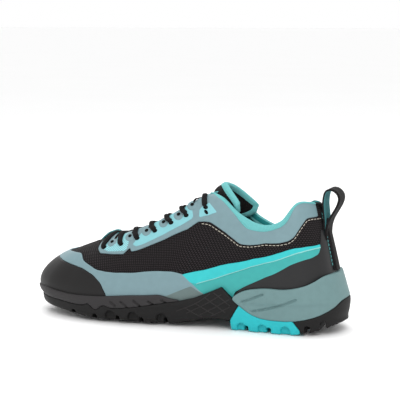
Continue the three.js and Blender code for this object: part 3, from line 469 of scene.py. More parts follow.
def upper_shell():
    turn = turns(AROUND // 2)[:, None]
    ups = np.linspace(0, 1, UPWARD)[None, :] * edge_at(turn)
    outer = skin(turn, ups, 0 * ups)
    inner = skin(turn, ups, -wall_at(turn, ups))
    angle = np.linspace(0, math.pi, 8)[1:-1][None, :, None]
    a, b = outer[:, -1:], inner[:, -1:]
    half = np.linalg.norm(a - b, axis=2, keepdims=True) / 2
    rim = ((a + b) / 2 + (a - b) / 2 * np.cos(angle)
           + rising_at(turn[:, 0])[:, None, :] * half * np.sin(angle) * 0.6)
    points = np.concatenate([outer, rim, inner[:, ::-1]], axis=1)
    obj = make("upper_knit", points, grid_faces(*points.shape[:2], ring_rows=True), KNIT,
               lengths_uv(points), flip=True)
    obj.data.materials.append(LINING)
    columns = points.shape[1] - 1
    inside = (np.arange(len(obj.data.polygons)) % columns) >= UPWARD + 1
    obj.data.polygons.foreach_set("material_index", inside.astype(int))
    return piece(obj, "mesh", "upper")


upper_shell()


# ---------------------------------------------------------------- overlays
def across_toe(rows):
    return [*rows, *[(2 - turn, low, high) for turn, low, high in rows[-2::-1]]]


def across_heel(rows):
    return [*[(-turn, low, high) for turn, low, high in rows[:0:-1]], *rows]


def on_outer_side(rows):
    return [(2 - turn, low, high) for turn, low, high in rows]


def film(name, rows, material, slot, nodes=(), lift=0.0, thick=0.9, bevel=0.9, ease=0.006, ribs=0,
         below_edge=0.0):
    """A patch that follows the upper between two lines, with rounded borders."""
    table = np.array(sorted(rows))
    count = max(12, int((table[-1, 0] - table[0, 0]) / (0.0008 if ribs else 0.003)))
    turn = np.linspace(table[0, 0], table[-1, 0], count)
    offsets = np.linspace(-ease, ease, 5)
    low, high = (np.mean([np.interp(turn + o, table[:, 0], table[:, k]) for o in offsets], axis=0)
                 for k in (1, 2))
    high = np.minimum(high, edge_at(turn) - below_edge)
    width = np.linalg.norm(last_point(turn, high) - last_point(turn, low), axis=1)
    edge = np.minimum(bevel / np.maximum(width, 0.1), 0.45)[:, None]
    columns = max(8, int(width.max() / 2.5))
    inner = np.linspace(0, 1, columns)[None, :]
    border = np.array([0, 0.12, 0.4])[None, :]
    share = np.concatenate([border * edge, edge + inner * (1 - 2 * edge),
                            1 - border[:, ::-1] * edge], axis=1)
    rise = np.concatenate([[0, 0.55, 0.9], np.ones(columns), [0.9, 0.55, 0]])
    ends = np.sqrt(np.clip(np.minimum(turn - turn[0], turn[-1] - turn) * 300 / bevel, 0, 1))
    ups = low[:, None] + (high - low)[:, None] * share
    heights = lift + thick * np.minimum(rise[None, :], ends[:, None]) - 0.05
    if ribs:
        waves = np.sin(2 * math.pi * (turn[:, None] * 165 + ups * 12))
        heights = heights + ribs * waves * np.minimum(rise[None, :], ends[:, None])
    points = skin(turn[:, None], ups, heights)
    obj = make(name, points, grid_faces(*points.shape[:2]), material, lengths_uv(points),
               flip=True)
    return piece(obj, slot, *nodes)


TOE_CAP = [(0.7, 0, 0.14), (0.73, 0, 0.26), (0.765, 0, 0.33), (0.815, 0, 0.4),
           (0.875, 0, 0.45), (0.935, 0, 0.505), (1, 0, 0.56)]
BAND = [(0.436, 0, 0.185), (0.47, 0, 0.255), (0.507, 0, 0.318), (0.54, 0, 0.33),
        (0.647, 0, 0.33), (0.69, 0, 0.34), (0.7, 0.15, 0.341), (0.73, 0.26, 0.352),
        (0.765, 0.33, 0.375), (0.815, 0.4, 0.45), (0.833, 0.416, 0.48), (0.868, 0.445, 0.57),
        (0.935, 0.505, 0.62), (1, 0.56, 0.66)]
WING_UPPER = [(0.088, 0.522, 0.545), (0.12, 0.508, 0.53), (0.163, 0.487, 0.518),
              (0.2, 0.478, 0.525), (0.241, 0.472, 0.532), (0.275, 0.463, 0.522),
              (0.316, 0.436, 0.508), (0.344, 0.405, 0.483), (0.386, 0.352, 0.445),
              (0.409, 0.32, 0.42), (0.451, 0.275, 0.367), (0.464, 0.26, 0.355),
              (0.515, 0.28, 0.312), (0.53, 0.29, 0.3)]
WING_LOWER = [(0.088, 0.49, 0.524), (0.101, 0.465, 0.518), (0.13, 0.438, 0.506),
              (0.163, 0.415, 0.489), (0.2, 0.395, 0.48), (0.241, 0.36, 0.474),
              (0.268, 0.335, 0.468), (0.31, 0.275, 0.442), (0.332, 0.235, 0.419),
              (0.349, 0.2, 0.4), (0.351, 0, 0.398), (0.386, 0, 0.354), (0.409, 0, 0.322),
              (0.451, 0, 0.277), (0.464, 0, 0.263), (0.5, 0, 0.285), (0.52, 0, 0.29)]
COUNTER = [(0, 0, 0.63), (0.015, 0, 0.635), (0.046, 0, 0.65), (0.072, 0, 0.638),
           (0.086, 0, 0.55), (0.101, 0, 0.49), (0.13, 0, 0.46), (0.2, 0, 0.42),
           (0.268, 0, 0.35), (0.332, 0, 0.25), (0.353, 0, 0.15)]
COLLAR_PANEL = [(0.07, 0.758, 0.95), (0.105, 0.745, 0.95), (0.132, 0.728, 0.945),
                (0.16, 0.66, 0.93), (0.185, 0.6, 0.9), (0.205, 0.593, 0.82),
                (0.221, 0.605, 0.8), (0.259, 0.635, 0.82), (0.291, 0.655, 0.815),
                (0.347, 0.63, 0.81), (0.373, 0.62, 0.8), (0.4, 0.645, 0.84),
                (0.43, 0.665, 0.9), (0.486, 0.67, 0.92), (0.525, 0.647, 0.94),
                (0.535, 0.63, 0.99)]
EYESTAY = [(0.505, 0.66, 1), (0.522, 0.655, 1), (0.548, 0.588, 1), (0.604, 0.525, 1),
           (0.672, 0.49, 1), (0.688, 0.49, 1), (0.7, 0.525, 1), (0.703, 0.525, 1),
           (0.707, 0.48, 1), (0.75, 0.5, 1), (0.792, 0.532, 1), (0.815, 0.59, 1),
           (0.832, 0.67, 1), (0.838, 0.72, 1)]
WINDOWS = {
    "front": [(0.706, 0.503, 0.51), (0.72, 0.508, 0.6), (0.741, 0.515, 0.7),
              (0.766, 0.527, 0.7), (0.79, 0.565, 0.68), (0.805, 0.59, 0.62)],
    "main": [(0.55, 0.66, 0.67), (0.575, 0.61, 0.74), (0.594, 0.585, 0.79),
             (0.615, 0.562, 0.79), (0.666, 0.525, 0.74), (0.683, 0.522, 0.7),
             (0.699, 0.55, 0.63)],
    "top": [(0.482, 0.762, 0.767), (0.499, 0.715, 0.785), (0.525, 0.678, 0.815),
            (0.53, 0.675, 0.8), (0.545, 0.735, 0.745)],
}
BAND_FOLD = [(0.436, 0, 0.185), (0.476, 0, 0.247), (0.536, 0, 0.17), (0.6, 0, 0.09),
             (0.64, 0, 0.03)]

film("toe_cap_film", across_toe(TOE_CAP), TOE_FILM, "satin", ["toe_cap"], thick=1.2)
film("vamp_band_film", across_toe(BAND), GREY_FILM, "film", ["vamp_band"], lift=0.45)
film("heel_counter_film", across_heel(COUNTER), COUNTER_FILM, "satin", ["heel_counter"],
     thick=1.1)
for side, placed in (("inner", list), ("outer", on_outer_side)):
    film(f"wing_{side}", placed(WING_UPPER), WING_TOP, "turquoise", [f"quarter_wing_{side}"],
         lift=0.1, thick=1.05, ease=0.002)
    film(f"wing_low_{side}", placed(WING_LOWER), WING_LOW, "turquoise", lift=0.05, thick=1.0,
         ease=0.002)
    ridge = [(t, low - 0.002, low + 0.007) for t, low, _ in WING_UPPER[:-2]]
    film(f"wing_ridge_{side}", placed(ridge), WING_LINE, "turquoise", lift=0.75, thick=0.6,
         bevel=0.6, ease=0.002)
    film(f"band_fold_{side}", placed(BAND_FOLD), FOLD_FILM, "film", lift=0.7, thick=0.85,
         ease=0.002)
    film(f"collar_panel_{side}_film", placed(COLLAR_PANEL), GREY_FILM, "film",
         [f"collar_panel_{side}"])
    film(f"eyestay_{side}_film", placed(EYESTAY), GREY_FILM, "film", [f"eyestay_{side}"],
         lift=0.15, ease=0.003)
    for place, rows in WINDOWS.items():
        nodes = [f"window_{side}"] if place == "main" else []
        at_front = place == "front"
        film(f"window_{place}_{side}", placed(rows), RIBBED_FILM if at_front else LIGHT_FILM,
             "light", nodes, lift=0.65, thick=0.6, bevel=0.6, ease=0.003,
             below_edge=0.012)

# ---------------------------------------------------------------- collar binding
BINDING = np.array([
    (0, 0.93), (0.078, 0.935), (0.097, 0.938), (0.135, 0.93), (0.16, 0.915), (0.172, 0.905),
    (0.19, 0.86), (0.207, 0.8), (0.221, 0.785), (0.259, 0.805), (0.3, 0.8), (0.351, 0.795),
    (0.373, 0.787), (0.4, 0.83), (0.43, 0.885), (0.47, 0.9), (0.514, 0.91), (0.55, 0.97)])


def collar_binding():
    turn = np.linspace(-0.555, 0.555, 300)
    offsets = np.linspace(-0.007, 0.007, 5)
    low = np.mean([np.interp(np.abs(turn + o), *BINDING.T) for o in offsets], axis=0)
    thick = 1.15
    columns = 9
    share = np.linspace(0, 1, columns)[None, :]
    ups = low[:, None] + (1 - low[:, None]) * share
    lift = thick * np.minimum(1, 0.05 + share * 4) ** 0.5
    outer = skin(turn[:, None], ups, lift + 0 * ups)
    down = np.linspace(1, 0.8, 7)[None, :]
    inner = skin(turn[:, None], down + 0 * ups[:, :1],
                 -wall_at(turn[:, None], down) - thick * np.linspace(1, 0.3, 7)[None, :])
    a, b = outer[:, -1:], inner[:, :1]
    angle = np.linspace(0, math.pi, 12)[1:-1][None, :, None]
    half = np.linalg.norm(a - b, axis=2, keepdims=True) / 2
    over = ((a + b) / 2 + (a - b) / 2 * np.cos(angle)
            + rising_at(turn)[:, None, :] * half * np.sin(angle) * 0.35)
    points = np.concatenate([outer, over, inner], axis=1)
    obj = make("collar_binding_tape", points, grid_faces(*points.shape[:2]), BINDING_KNIT,
               lengths_uv(points), flip=True)
    obj.data.materials.append(TONGUE_KNIT)
    across = points.shape[1] - 1
    at_back = np.abs(turn[np.arange(len(obj.data.polygons)) // across]) < 0.07
    obj.data.polygons.foreach_set("material_index", at_back.astype(int))
    return piece(obj, "binding", "collar_binding")


collar_binding()

# ---------------------------------------------------------------- tongue
TONGUE = {"thick": 3.6, "clear": 1.0, "crown": 1.5, "sunk": 2.6}
TONGUE_ROWS = [
    (0.955, 0.8, 0.88, -0.4), (0.945, 0.8, 0.94, -0.6), (0.92, 0.8, 1, -0.5),
    (0.88, 0.78, 1, -0.8), (0.82, 0.76, 1, -1.2), (0.75, 0.74, 1, -1.4), (0.68, 0.74, 1, -1.4),
    (0.62, 0.76, 1, -0.8), (0.575, 0.8, 1, 0.6)]
TONGUE_TOP = np.array([
    [(0.372, 0.17, 0.86), (0.401, 0.105, 0.965), (0.413, 0, 1), (0.401, -0.115, 0.94),
     (0.37, -0.185, 0.82)],
    [(0.326, 0.17, 0.91), (0.382, 0.115, 1.03), (0.405, 0, 1.045), (0.384, -0.12, 0.985),
     (0.322, -0.185, 0.86)],
    [(0.318, 0.204, 0.99), (0.357, 0.133, 1.08), (0.382, 0, 1.087), (0.364, -0.133, 1.045),
     (0.311, -0.214, 0.92)]]) * [LENGTH, BALL_WIDTH, COLLAR_HEIGHT]


def tongue_grids(across=41, along=150):
    def under(turn, up, deeper=0.0):
        depth = wall_at(turn, up) + TONGUE["clear"] + deeper
        return skin(np.array(turn), np.array(up), -depth)

    rows = []
    for turn, wing, edge, crown in TONGUE_ROWS:
        far_edge = min(edge, float(edge_at(2 - turn)) + 0.02)
        edge = min(edge, float(edge_at(turn)) + 0.02)
        wing = min(wing, edge - 0.2)
        sunk = TONGUE["sunk"] if turn < 0.9 else 0
        inner, outer = under(turn, edge, sunk), under(2 - turn, far_edge, sunk)
        ridge = under(1.0, edge) if turn > 0.93 else (inner + outer) / 2
        ridge = ridge + [0, 0, TONGUE["crown"] * crown]
        rows.append([under(turn, wing), inner, ridge, outer, under(2 - turn, wing)])
    rows = [spline(row, across) for row in [*rows, *TONGUE_TOP]]
    columns = [spline([row[k] for row in rows], along) for k in range(across)]
    top = np.stack(columns, 1)
    along_step = np.gradient(top, axis=0)
    across_step = np.gradient(top, axis=1)
    normal = unit(np.cross(across_step, along_step))
    return top, normal


TONGUE_FACE, TONGUE_NORMAL = tongue_grids()


def tongue():
    under = TONGUE_FACE - TONGUE_NORMAL * TONGUE["thick"]
    angle = np.linspace(0, math.pi, 7)[1:-1][None, :, None]
    edges = []
    for side, k in ((1, 0), (-1, -1)):
        a, b = TONGUE_FACE[:, k][:, None], under[:, k][:, None]
        out = unit(TONGUE_FACE[:, k] - TONGUE_FACE[:, k + side])[:, None]
        edges.append((a + b) / 2 + (a - b) / 2 * np.cos(angle)
                     + out * TONGUE["thick"] / 2 * np.sin(angle))
    points = np.concatenate([TONGUE_FACE, edges[1], under[:, ::-1], edges[0][:, ::-1]], axis=1)
    faces = grid_faces(*points.shape[:2], ring_columns=True).tolist()
    obj = make("tongue_pad", points, faces, TONGUE_KNIT, lengths_uv(points))
    return piece(obj, "mesh", "tongue")


tongue()


def tongue_binding(width=3.0, lift=0.4, start=86):
    """Tape folded over the tongue's free edge, up one side, over the top and down the other."""
    last = len(TONGUE_FACE) - 1
    end = TONGUE_FACE.shape[1] - 1
    route = ([(i, 0, 0, 1) for i in range(start, last)]
             + [(last, j, -1, 0) for j in range(0, end + 1)]
             + [(i, end, 0, -1) for i in range(last - 1, start, -1)])
    strips = []
    for i, j, di, dj in route:
        face, normal = TONGUE_FACE[i, j], TONGUE_NORMAL[i, j]
        if j in (0, end) and i == last:
            di, dj = -1, (1 if j == 0 else -1)
        ahead = unit(TONGUE_FACE[i + di, j + dj] - face)
        back = face - normal * TONGUE["thick"]
        arc = [(face + back) / 2 + normal * (TONGUE["thick"] / 2 + lift) * math.cos(a)
               - ahead * (TONGUE["thick"] / 2 + lift) * math.sin(a)
               for a in np.linspace(0, math.pi, 9)]
        strips.append([face + ahead * width + normal * 0.05, face + ahead * (width - 0.8)
                       + normal * lift, *arc, back + ahead * (width - 0.8) - normal * lift,
                       back + ahead * width - normal * 0.05])
    points = np.array(strips)
    obj = make("tongue_binding_tape", points, grid_faces(*points.shape[:2]), BINDING_KNIT,
               lengths_uv(points), flip=True)
    return piece(obj, "binding")


tongue_binding()

# ---------------------------------------------------------------- laces
CORD = {"wide": 1.9, "high": 0.95}
OUTER_EYELETS = [(0.792, 0.583), (0.738, 0.573), (0.696, 0.593), (0.652, 0.618),
                 (0.614, 0.645), (0.578, 0.682), (0.527, 0.763)]
INNER_EYELETS = [(0.781, 0.63), (0.73, 0.64), (0.683, 0.647), (0.643, 0.68), (0.607, 0.705),
                 (0.583, 0.777)]
SPARE_EYELET = (0.515, 0.728)
FILM_TOP = 1.25


def ribbon(path, normals, wide, high, sides=14):
    """An oval cord along a path, its flat side to the surface that it lies on."""
    wide, high = (np.broadcast_to(size, len(path))[:, None, None] for size in (wide, high))
    tangent = unit(np.gradient(path, axis=0))
    aside = unit(np.cross(tangent, normals))
    normal = np.cross(aside, tangent)
    angle = np.linspace(0, 2 * math.pi, sides, endpoint=False)[None, :, None]
    return (path[:, None] + aside[:, None] * wide * np.cos(angle)
            + normal[:, None] * high * np.sin(angle))


def under_laces():
    """The skin and the tongue under the laces, for finding their height."""
    turn = np.linspace(0.45, 1.55, 220)[:, None]
    ups = np.linspace(0.4, 1, 40)[None, :] * edge_at(turn)
    grids = [skin(turn, ups, FILM_TOP + 0 * ups), TONGUE_FACE]
    points, faces, start = [], [], 0
    for grid in grids:
        faces += (grid_faces(*grid.shape[:2]) + start).tolist()
        points.append(grid.reshape(-1, 3))
        start += len(points[-1])
    return BVHTree.FromPolygons(np.concatenate(points).tolist(), faces)


def taut(way, height):
    """The lowest line without a dip that stays over the heights: a cord pulled tight."""
    hull = []
    for k in range(len(way)):
        while len(hull) > 1:
            i, j = hull[-2:]
            if (height[j] - height[i]) * (way[k] - way[i]) > (
                    (height[k] - height[i]) * (way[j] - way[i])):
                break
            hull.pop()
        hull.append(k)
    return np.interp(way, way[hull], height[hull])


LACE_BED = under_laces()
LACE_LEAN = 0.036


def strand(start, end, side, hop):
    """A cord from an outer eyelet, over the throat, to an inner eyelet of the other side."""
    def place(turn, up, far, lift):
        at = 2 - turn if (side > 0) == far else turn
        return skin(np.array(at), np.array(up), lift)

    lift = FILM_TOP + CORD["high"]
    far_turn = 2 - end[0] if side > 0 else end[0]
    far_top = float(edge_at(far_turn))
    top = float(edge_at(start[0] + LACE_LEAN if side > 0 else 2 - start[0] - LACE_LEAN))
    end = (end[0], min(end[1], far_top - 0.03))
    climb = [place(*start, False, -1.5),
             place(start[0] + LACE_LEAN * 0.2, start[1] + 0.02, False, lift - 0.1),
             place(start[0] + LACE_LEAN * 0.6, (start[1] + top) / 2, False, lift),
             place(start[0] + LACE_LEAN, top, False, lift)]
    fall = [place(end[0], far_top, True, lift),
            place(end[0], (end[1] + far_top) / 2, True, lift - 0.1), place(*end, True, -1.5)]
    a, b = climb[-1], fall[0]
    share = np.linspace(0, 1, 30)
    over = a + (b - a) * share[:, None]
    for point in over[1:-1]:
        hit = LACE_BED.ray_cast((point[0], point[1], 200), (0, 0, -1))[0]
        if hit:
            point[2] = hit.z + CORD["high"]
    way = np.linalg.norm(over[:, :2] - over[0, :2], axis=1)
    over[:, 2] = taut(way, over[:, 2]) + hop * np.exp(-((share - 0.45) / 0.13) ** 2)
    path = spline([*climb[:-1], *over[::3], over[-1], *fall[1:]], 90)
    tangent = unit(np.gradient(path, axis=0))
    out = path - (path[0] + path[-1]) / 2 * [1, 1, 0] - [0, 0, 45]
    out[:, 0] = 0
    return path, unit(out - tangent * np.sum(out * tangent, axis=1, keepdims=True))


def lace(name, strands, node):
    points, faces, uvs, start = [], [], [], 0
    for path, normals in strands:
        share = np.linspace(0, 1, len(path))
        pinch = (1.2 - 0.2 * smoothstep(share, 0.15, 0.35)
                 - 0.45 * smoothstep(share, 0.68, 0.88))
        tube = ribbon(path, normals, CORD["wide"] * pinch, CORD["high"] * pinch)
        faces.append(grid_faces(*tube.shape[:2], ring_columns=True) + start)
        uvs.append(lengths_uv(tube).reshape(-1, 2))
        points.append(tube.reshape(-1, 3))
        start += len(points[-1])
    obj = make(name, np.concatenate(points), np.concatenate(faces), CORD_WEAVE,
               np.concatenate(uvs))
    return piece(obj, "cord", node)


lace("lace_bar", [strand(OUTER_EYELETS[0], OUTER_EYELETS[0], 1, 0.0)], "lace_1")
for number, (inner_hole, outer_hole) in enumerate(zip(INNER_EYELETS, OUTER_EYELETS[1:])):
    lace(f"lace_cross_{number + 1}", [strand(outer_hole, inner_hole, 1, 0.0),
                                      strand(outer_hole, inner_hole, -1, 1.5)],
         f"lace_{number + 2}")


def disc(turn, up, radii, lifts, aspect=1.0, tilt=0.0, sides=24):
    """Rings round a place on the skin, with their radii and lifts in millimetres."""
    step = 0.002
    ahead = (last_point(turn + step, up) - last_point(turn - step, up)) / (2 * step)
    rising = (last_point(turn, up + step) - last_point(turn, up - step)) / (2 * step)
    normal = last_normal(turn, up)
    level = unit(ahead)
    upright = np.cross(normal, level)
    upright = upright * np.sign(upright @ rising)
    angle = np.linspace(0, 2 * math.pi, sides, endpoint=False)
    c, d = np.cos(angle), aspect * np.sin(angle)
    a = c * math.cos(tilt) - d * math.sin(tilt)
    b = c * math.sin(tilt) + d * math.cos(tilt)
    d_up = b / (rising @ upright)
    d_turn = (a - d_up * (rising @ level)) / np.linalg.norm(ahead)
    return np.array([skin(turn + d_turn * radius, up + d_up * radius, lift)
                     for radius, lift in zip(radii, lifts)])


def discs(name, places, radii, lifts, material, slot, **more):
    points, faces, start = [], [], 0
    for turn, up in places:
        for at in (turn, 2 - turn):
            rings = disc(np.array(at), np.array(up), radii, lifts, **more)
            ring_faces = grid_faces(*rings.shape[:2], ring_columns=True)
            faces.append((ring_faces if at < 1 else ring_faces[:, ::-1]) + start)
            points.append(rings.reshape(-1, 3))
            start += len(points[-1])
    obj = make(name, np.concatenate(points), np.concatenate(faces), material)
    return piece(obj, slot)


discs("eyestay_scallops", INNER_EYELETS, (5.0, 4.6, 3.8, 1.6, 0.02),
      (0.7, 1.35, 1.5, 1.5, 1.5), GREY_FILM, "film")
# Painted shade: dark discs laid on the eyelets in place of the shaded insides of real lace holes
discs("eyelet_hole_shades", OUTER_EYELETS, (2.3, 2.1, 1.7, 0.02), (1.1, 1.45, 1.3, 1.2), HOLE_SHADE,
      "cord", aspect=0.75)
discs("inner_hole_shades", INNER_EYELETS, (1.7, 1.55, 1.2, 0.02), (1.5, 2.1, 2.0, 1.95), HOLE_SHADE,
      "cord", aspect=0.8)
discs("spare_hole_shade", [SPARE_EYELET], (2.4, 2.2, 1.7, 0.02), (1.1, 1.45, 1.3, 1.2), HOLE_SHADE,
      "cord", aspect=0.55, tilt=0.5)

# ---------------------------------------------------------------- webbing
def band(name, path, width, thick, outside, inside, slot, node, across=7):
    """Webbing bent in side view, with a woven outside and inside."""
    line = spline(path, 90)
    tangent = unit(np.gradient(line, axis=0))
    normal = np.stack([-tangent[:, 1], tangent[:, 0]], -1)
    y = np.linspace(-width / 2, width / 2, across)

    def face(lift, order):
        p = line + normal * lift
        return np.stack([np.stack([p[:, 0], np.full(len(p), v), p[:, 1]], -1) for v in order], 1)

    outer, inner = face(thick, y), face(0, y[::-1])
    points = np.concatenate([outer, inner], axis=1)
    obj = make(name, points, grid_faces(*points.shape[:2], ring_columns=True), outside,
               lengths_uv(points), flip=True)
    obj.data.materials.append(inside)
    columns = points.shape[1]
    is_inner = (np.arange(len(obj.data.polygons)) % columns) >= across
    obj.data.polygons.foreach_set("material_index", is_inner.astype(int))
    return piece(obj, slot, *node)


LOOP_PATH = [
    (18.8, 76), (19, 82), (18.3, 88), (16.3, 93.5), (13.2, 99), (9.9, 105), (8.6, 110.5),
    (10.6, 114.6), (14.5, 116.6), (18, 115.8), (19.7, 111.7), (20.3, 105), (19.6, 98),
    (19, 91), (19, 85)]
band("pull_loop_webbing", LOOP_PATH, 18, 1.5, WEBBING, WEBBING_TEAL, "cord", ["pull_loop"])
KEEPER_PATH = [(222, 63.5), (218, 67.5), (212.5, 71.5), (207.5, 71.5), (204.5, 67.5)]
band("keeper_webbing", KEEPER_PATH, 11, 1.2, WEBBING_TEAL, WEBBING_TEAL, "binding",
     ["lace_keeper"])


TONGUE_LOOP = [(126, 102.5), (124.5, 106), (120, 109), (114, 111.4), (109.5, 112.2), (107.8, 109)]
band("tongue_loop_webbing", TONGUE_LOOP, 25, 1.3, LOOP_LIGHT, LOOP_LIGHT, "binding", [])


def heel_strap():
    ups = np.linspace(0.36, 0.86, 60)[:, None]
    half = 0.032
    turn = np.linspace(-half, half, 13)[None, :]
    profile = np.array([0, 0.9, *[1] * 9, 0.9, 0])[None, :] * 2.0
    points = skin(turn + 0 * ups, ups + 0 * turn, 1.3 + profile + 0 * ups)
    obj = make("heel_strap_webbing", points, grid_faces(*points.shape[:2]), WEBBING,
               lengths_uv(points))
    return piece(obj, "cord")


heel_strap()

# ---------------------------------------------------------------- sole
LINE_STEPS = 7
MIDSOLE_RIM = [
    (1.04, 0.86), (0.946, 0.97), (0.888, 0.92), (0.841, 0.884), (0.793, 0.888), (0.722, 0.928),
    (0.643, 1.012), (0.585, 1.048), (0.541, 1.08), (0.51, 0.98), (0.484, 0.935)]
OUTSOLE_TOP = [
    (1.04, 0.76), (0.972, 0.644), (0.914, 0.628), (0.864, 0.604), (0.814, 0.548),
    (0.782, 0.576), (0.768, 0.636), (0.745, 0.432), (0.717, 0.616), (0.688, 0.54),
    (0.639, 0.596), (0.582, 0.7), (0.536, 0.796), (0.483, 0.9)]
ARCH_WING = [
    (0.436, 1.036), (0.379, 1.316), (0.353, 1.46), (0.3, 0.872), (0.325, 0.408), (0.327, 0.33)]
ARCH_UNDER = [(0.37, 0.39), (0.41, 0.34), (0.45, 0.25), (0.49, 0.14), (0.53, 0)]
WEDGE_TOP = [
    (0.3185, 1.08), (0.312, 1.2), (0.279, 1.4), (0.221, 1.516), (0.164, 1.516), (0.114, 1.62),
    (0.082, 1.77), (0.059, 1.935), (0.037, 1.99), (0.02, 1.94), (0.006, 1.74), (-0.004, 1.5),
    (-0.04, 1.4)]
WEDGE_UNDER = [
    (-0.04, 1.3), (0.006, 1.152), (0.027, 0.92), (0.064, 0.684), (0.114, 0.528),
    (0.164, 0.472), (0.221, 0.488), (0.261, 0.608), (0.3, 0.872)]
BLOCK_REAR = [(0.136, 0.5), (0.116, 0.2), (0.11, -0.4)]
BELOW = -0.4
BEYOND = 1.04


def side(points):
    return [(along * LENGTH, level * HEEL_STACK) for along, level in points]


def curved(points):
    """A side line through the points as a smooth curve."""
    return [tuple(p) for p in spline(side(points), LINE_STEPS * len(points))]


def sole_rings(count=150, levels=22):
    turn = turns(count)
    from_heel = np.minimum(turn, 2 - turn)
    foot_x, foot_y = ring_at(turn)[:2]
    flare = SOLE_FLARE * between(FLARES, "turn", from_heel, "swell")
    tread = between(FLARES, "turn", from_heel, "tread")
    out = outward_at(turn)
    foot = np.stack([foot_x, foot_y, 0 * foot_x], -1)
    lowest = foot + out * (flare * tread)[:, None]
    lowest[:, 2] = ground_at(lowest[:, 0], 1.0)
    bed = bed_at(foot_x)
    rim = HEEL_STACK * between(RIM_TOPS, "along", foot_x / LENGTH, "stack")
    rings = [lowest]
    for level in np.linspace(-0.92, 1, levels):
        z = bed + (lowest[:, 2] - bed) * -level if level < 0 else bed + (rim - bed) * level
        at_tread = np.interp(level, [-1, -0.78], [1, 0])
        share = between(SIDE_LEVELS, "level", np.full(len(turn), level), "out")
        share = share * (1 - at_tread) + tread * at_tread
        seat = last_point(turn, up_at_height(turn, z))
        seat[:, 2] = z
        rings.append(seat + out * (flare * share)[:, None])
    return rings


def solid(name, points, faces):
    """A closed mesh for cutting, with all its faces turned outward."""
    mesh = bpy.data.meshes.new(name)
    mesh.from_pydata(((np.asarray(points) + SHIFT) * MM).tolist(), [], faces)
    shape = bmesh.new()
    shape.from_mesh(mesh)
    bmesh.ops.recalc_face_normals(shape, faces=shape.faces)
    shape.to_mesh(mesh)
    shape.free()
    obj = bpy.data.objects.new(name, mesh)
    bpy.context.collection.objects.link(obj)
    return obj


def stacked(name, rings, across, floor_at):
    """A closed solid from rings of the foot's outline, with rungs over its floor and roof."""
    size = len(rings[0])
    toe = size // 2
    points = [np.concatenate(rings)]
    faces = grid_faces(len(rings), size, ring_columns=True).tolist()
    start = len(points[0])
    for number, (ring, place, first) in enumerate(
            ((rings[0], floor_at, 0), (rings[-1], None, (len(rings) - 1) * size))):
        index = np.zeros((toe + 1, across + 1), int)
        for i in range(toe + 1):
            a, b = ring[i], ring[(size - i) % size]
            for j in range(across + 1):
                if j in (0, across) or i in (0, toe):
                    index[i, j] = first + (i if j < across or i in (0, toe)
                                           else (size - i) % size)
                    continue
                p = a + (b - a) * j / across
                if place is not None:
                    p = np.array([p[0], p[1], place(p[0], 2 * j / across - 1)])
                points.append(p[None])
                index[i, j] = start
                start += 1
        for i in range(toe):
            for j in range(across):
                quad = [index[i, j], index[i, j + 1], index[i + 1, j + 1], index[i + 1, j]]
                quad = list(dict.fromkeys(quad))
                if len(quad) > 2:
                    faces.append(quad if number else quad[::-1])
    return solid(name, np.concatenate(points), faces)


def prism(name, outline, upright=False, low=0.0, high=0.0):
    """A prism across the shoe from a side outline, or upright from a plan outline."""
    flat = np.asarray(outline, float)
    n = len(flat)
    if upright:
        ends = [np.column_stack([flat, np.full(n, z)]) for z in (low, high)]
    else:
        ends = [np.column_stack([flat[:, 0], np.full(n, y), flat[:, 1]]) for y in (-98.0, 98.0)]
    faces = [list(range(n))[::-1], list(range(n, 2 * n))]
    faces += [[i, (i + 1) % n, n + (i + 1) % n, n + i] for i in range(n)]
    return solid(name, np.concatenate(ends), faces)


def combine(obj, tool, operation):
    cut = obj.modifiers.new("cut", "BOOLEAN")
    cut.operation = operation
    cut.solver = "EXACT"
    cut.object = tool
    evaluated(obj)
    bpy.data.objects.remove(tool)
    return obj


def copied(obj):
    twin = obj.copy()
    twin.data = obj.data.copy()
    bpy.context.collection.objects.link(twin)
    return twin


GROOVE_WIDTH = 4.0
CHEVRON = 7.0


def chevrons(places):
    half = GROOVE_WIDTH / 2
    for along in places:
        x = along * LENGTH
        yield prism("groove", [(x - half, -98), (x + half, -98), (x + half + CHEVRON, 0),
                               (x + half, 98), (x - half, 98), (x - half + CHEVRON, 0)],
                    True, -TREAD_DEPTH, float(ground_at(np.array(x), 0.9)) + TREAD_DEPTH)


def lengthwise(start, end, apart):
    half = GROOVE_WIDTH / 2
    for y in (-apart / 2, apart / 2):
        yield prism("groove", [(start * LENGTH, y - half), (end * LENGTH, y - half),
                               (end * LENGTH, y + half), (start * LENGTH, y + half)],
                    True, -TREAD_DEPTH, TREAD_DEPTH)


def moulded_piece(name, blank, outline, cuts, material, slot, node, voxel=0.95):
    """One sole part: the blank between side lines, less the cup and the cuts, edges softened."""
    obj = combine(copied(blank), prism("outline", outline), "INTERSECT")
    obj.name = name
    for tool in cuts:
        combine(obj, tool, "DIFFERENCE")
    remesh = obj.modifiers.new("remesh", "REMESH")
    remesh.mode = "VOXEL"
    remesh.voxel_size = voxel * MM
    soft = obj.modifiers.new("soft", "SMOOTH")
    soft.factor = 0.5
    soft.iterations = 2
    evaluated(obj)
    obj.data.materials.clear()
    obj.data.materials.append(material)
    obj.data.polygons.foreach_set("use_smooth", [True] * len(obj.data.polygons))
    return piece(obj, slot, node)


def cup_solid():
    turn = turns(110)
    bed = bed_at(ring_at(turn)[0])
    rings = []
    for j, up in enumerate(np.linspace(0, 0.6, 22)):
        ring = skin(turn, np.full(len(turn), up), np.full(len(turn), 0.1))
        ring[:, 2] = bed - 0.1 if j == 0 else np.maximum(ring[:, 2], bed + 0.05 * j)
        rings.append(ring)
    return stacked("cup", rings, 4, lambda x, across: float(bed_at(np.array(x))) - 0.1)


def surface_y(tree, x, z, way):
    hit = tree.ray_cast((x, way * 98, z), (0, -way, 0))[0]
    return hit.y if hit else None


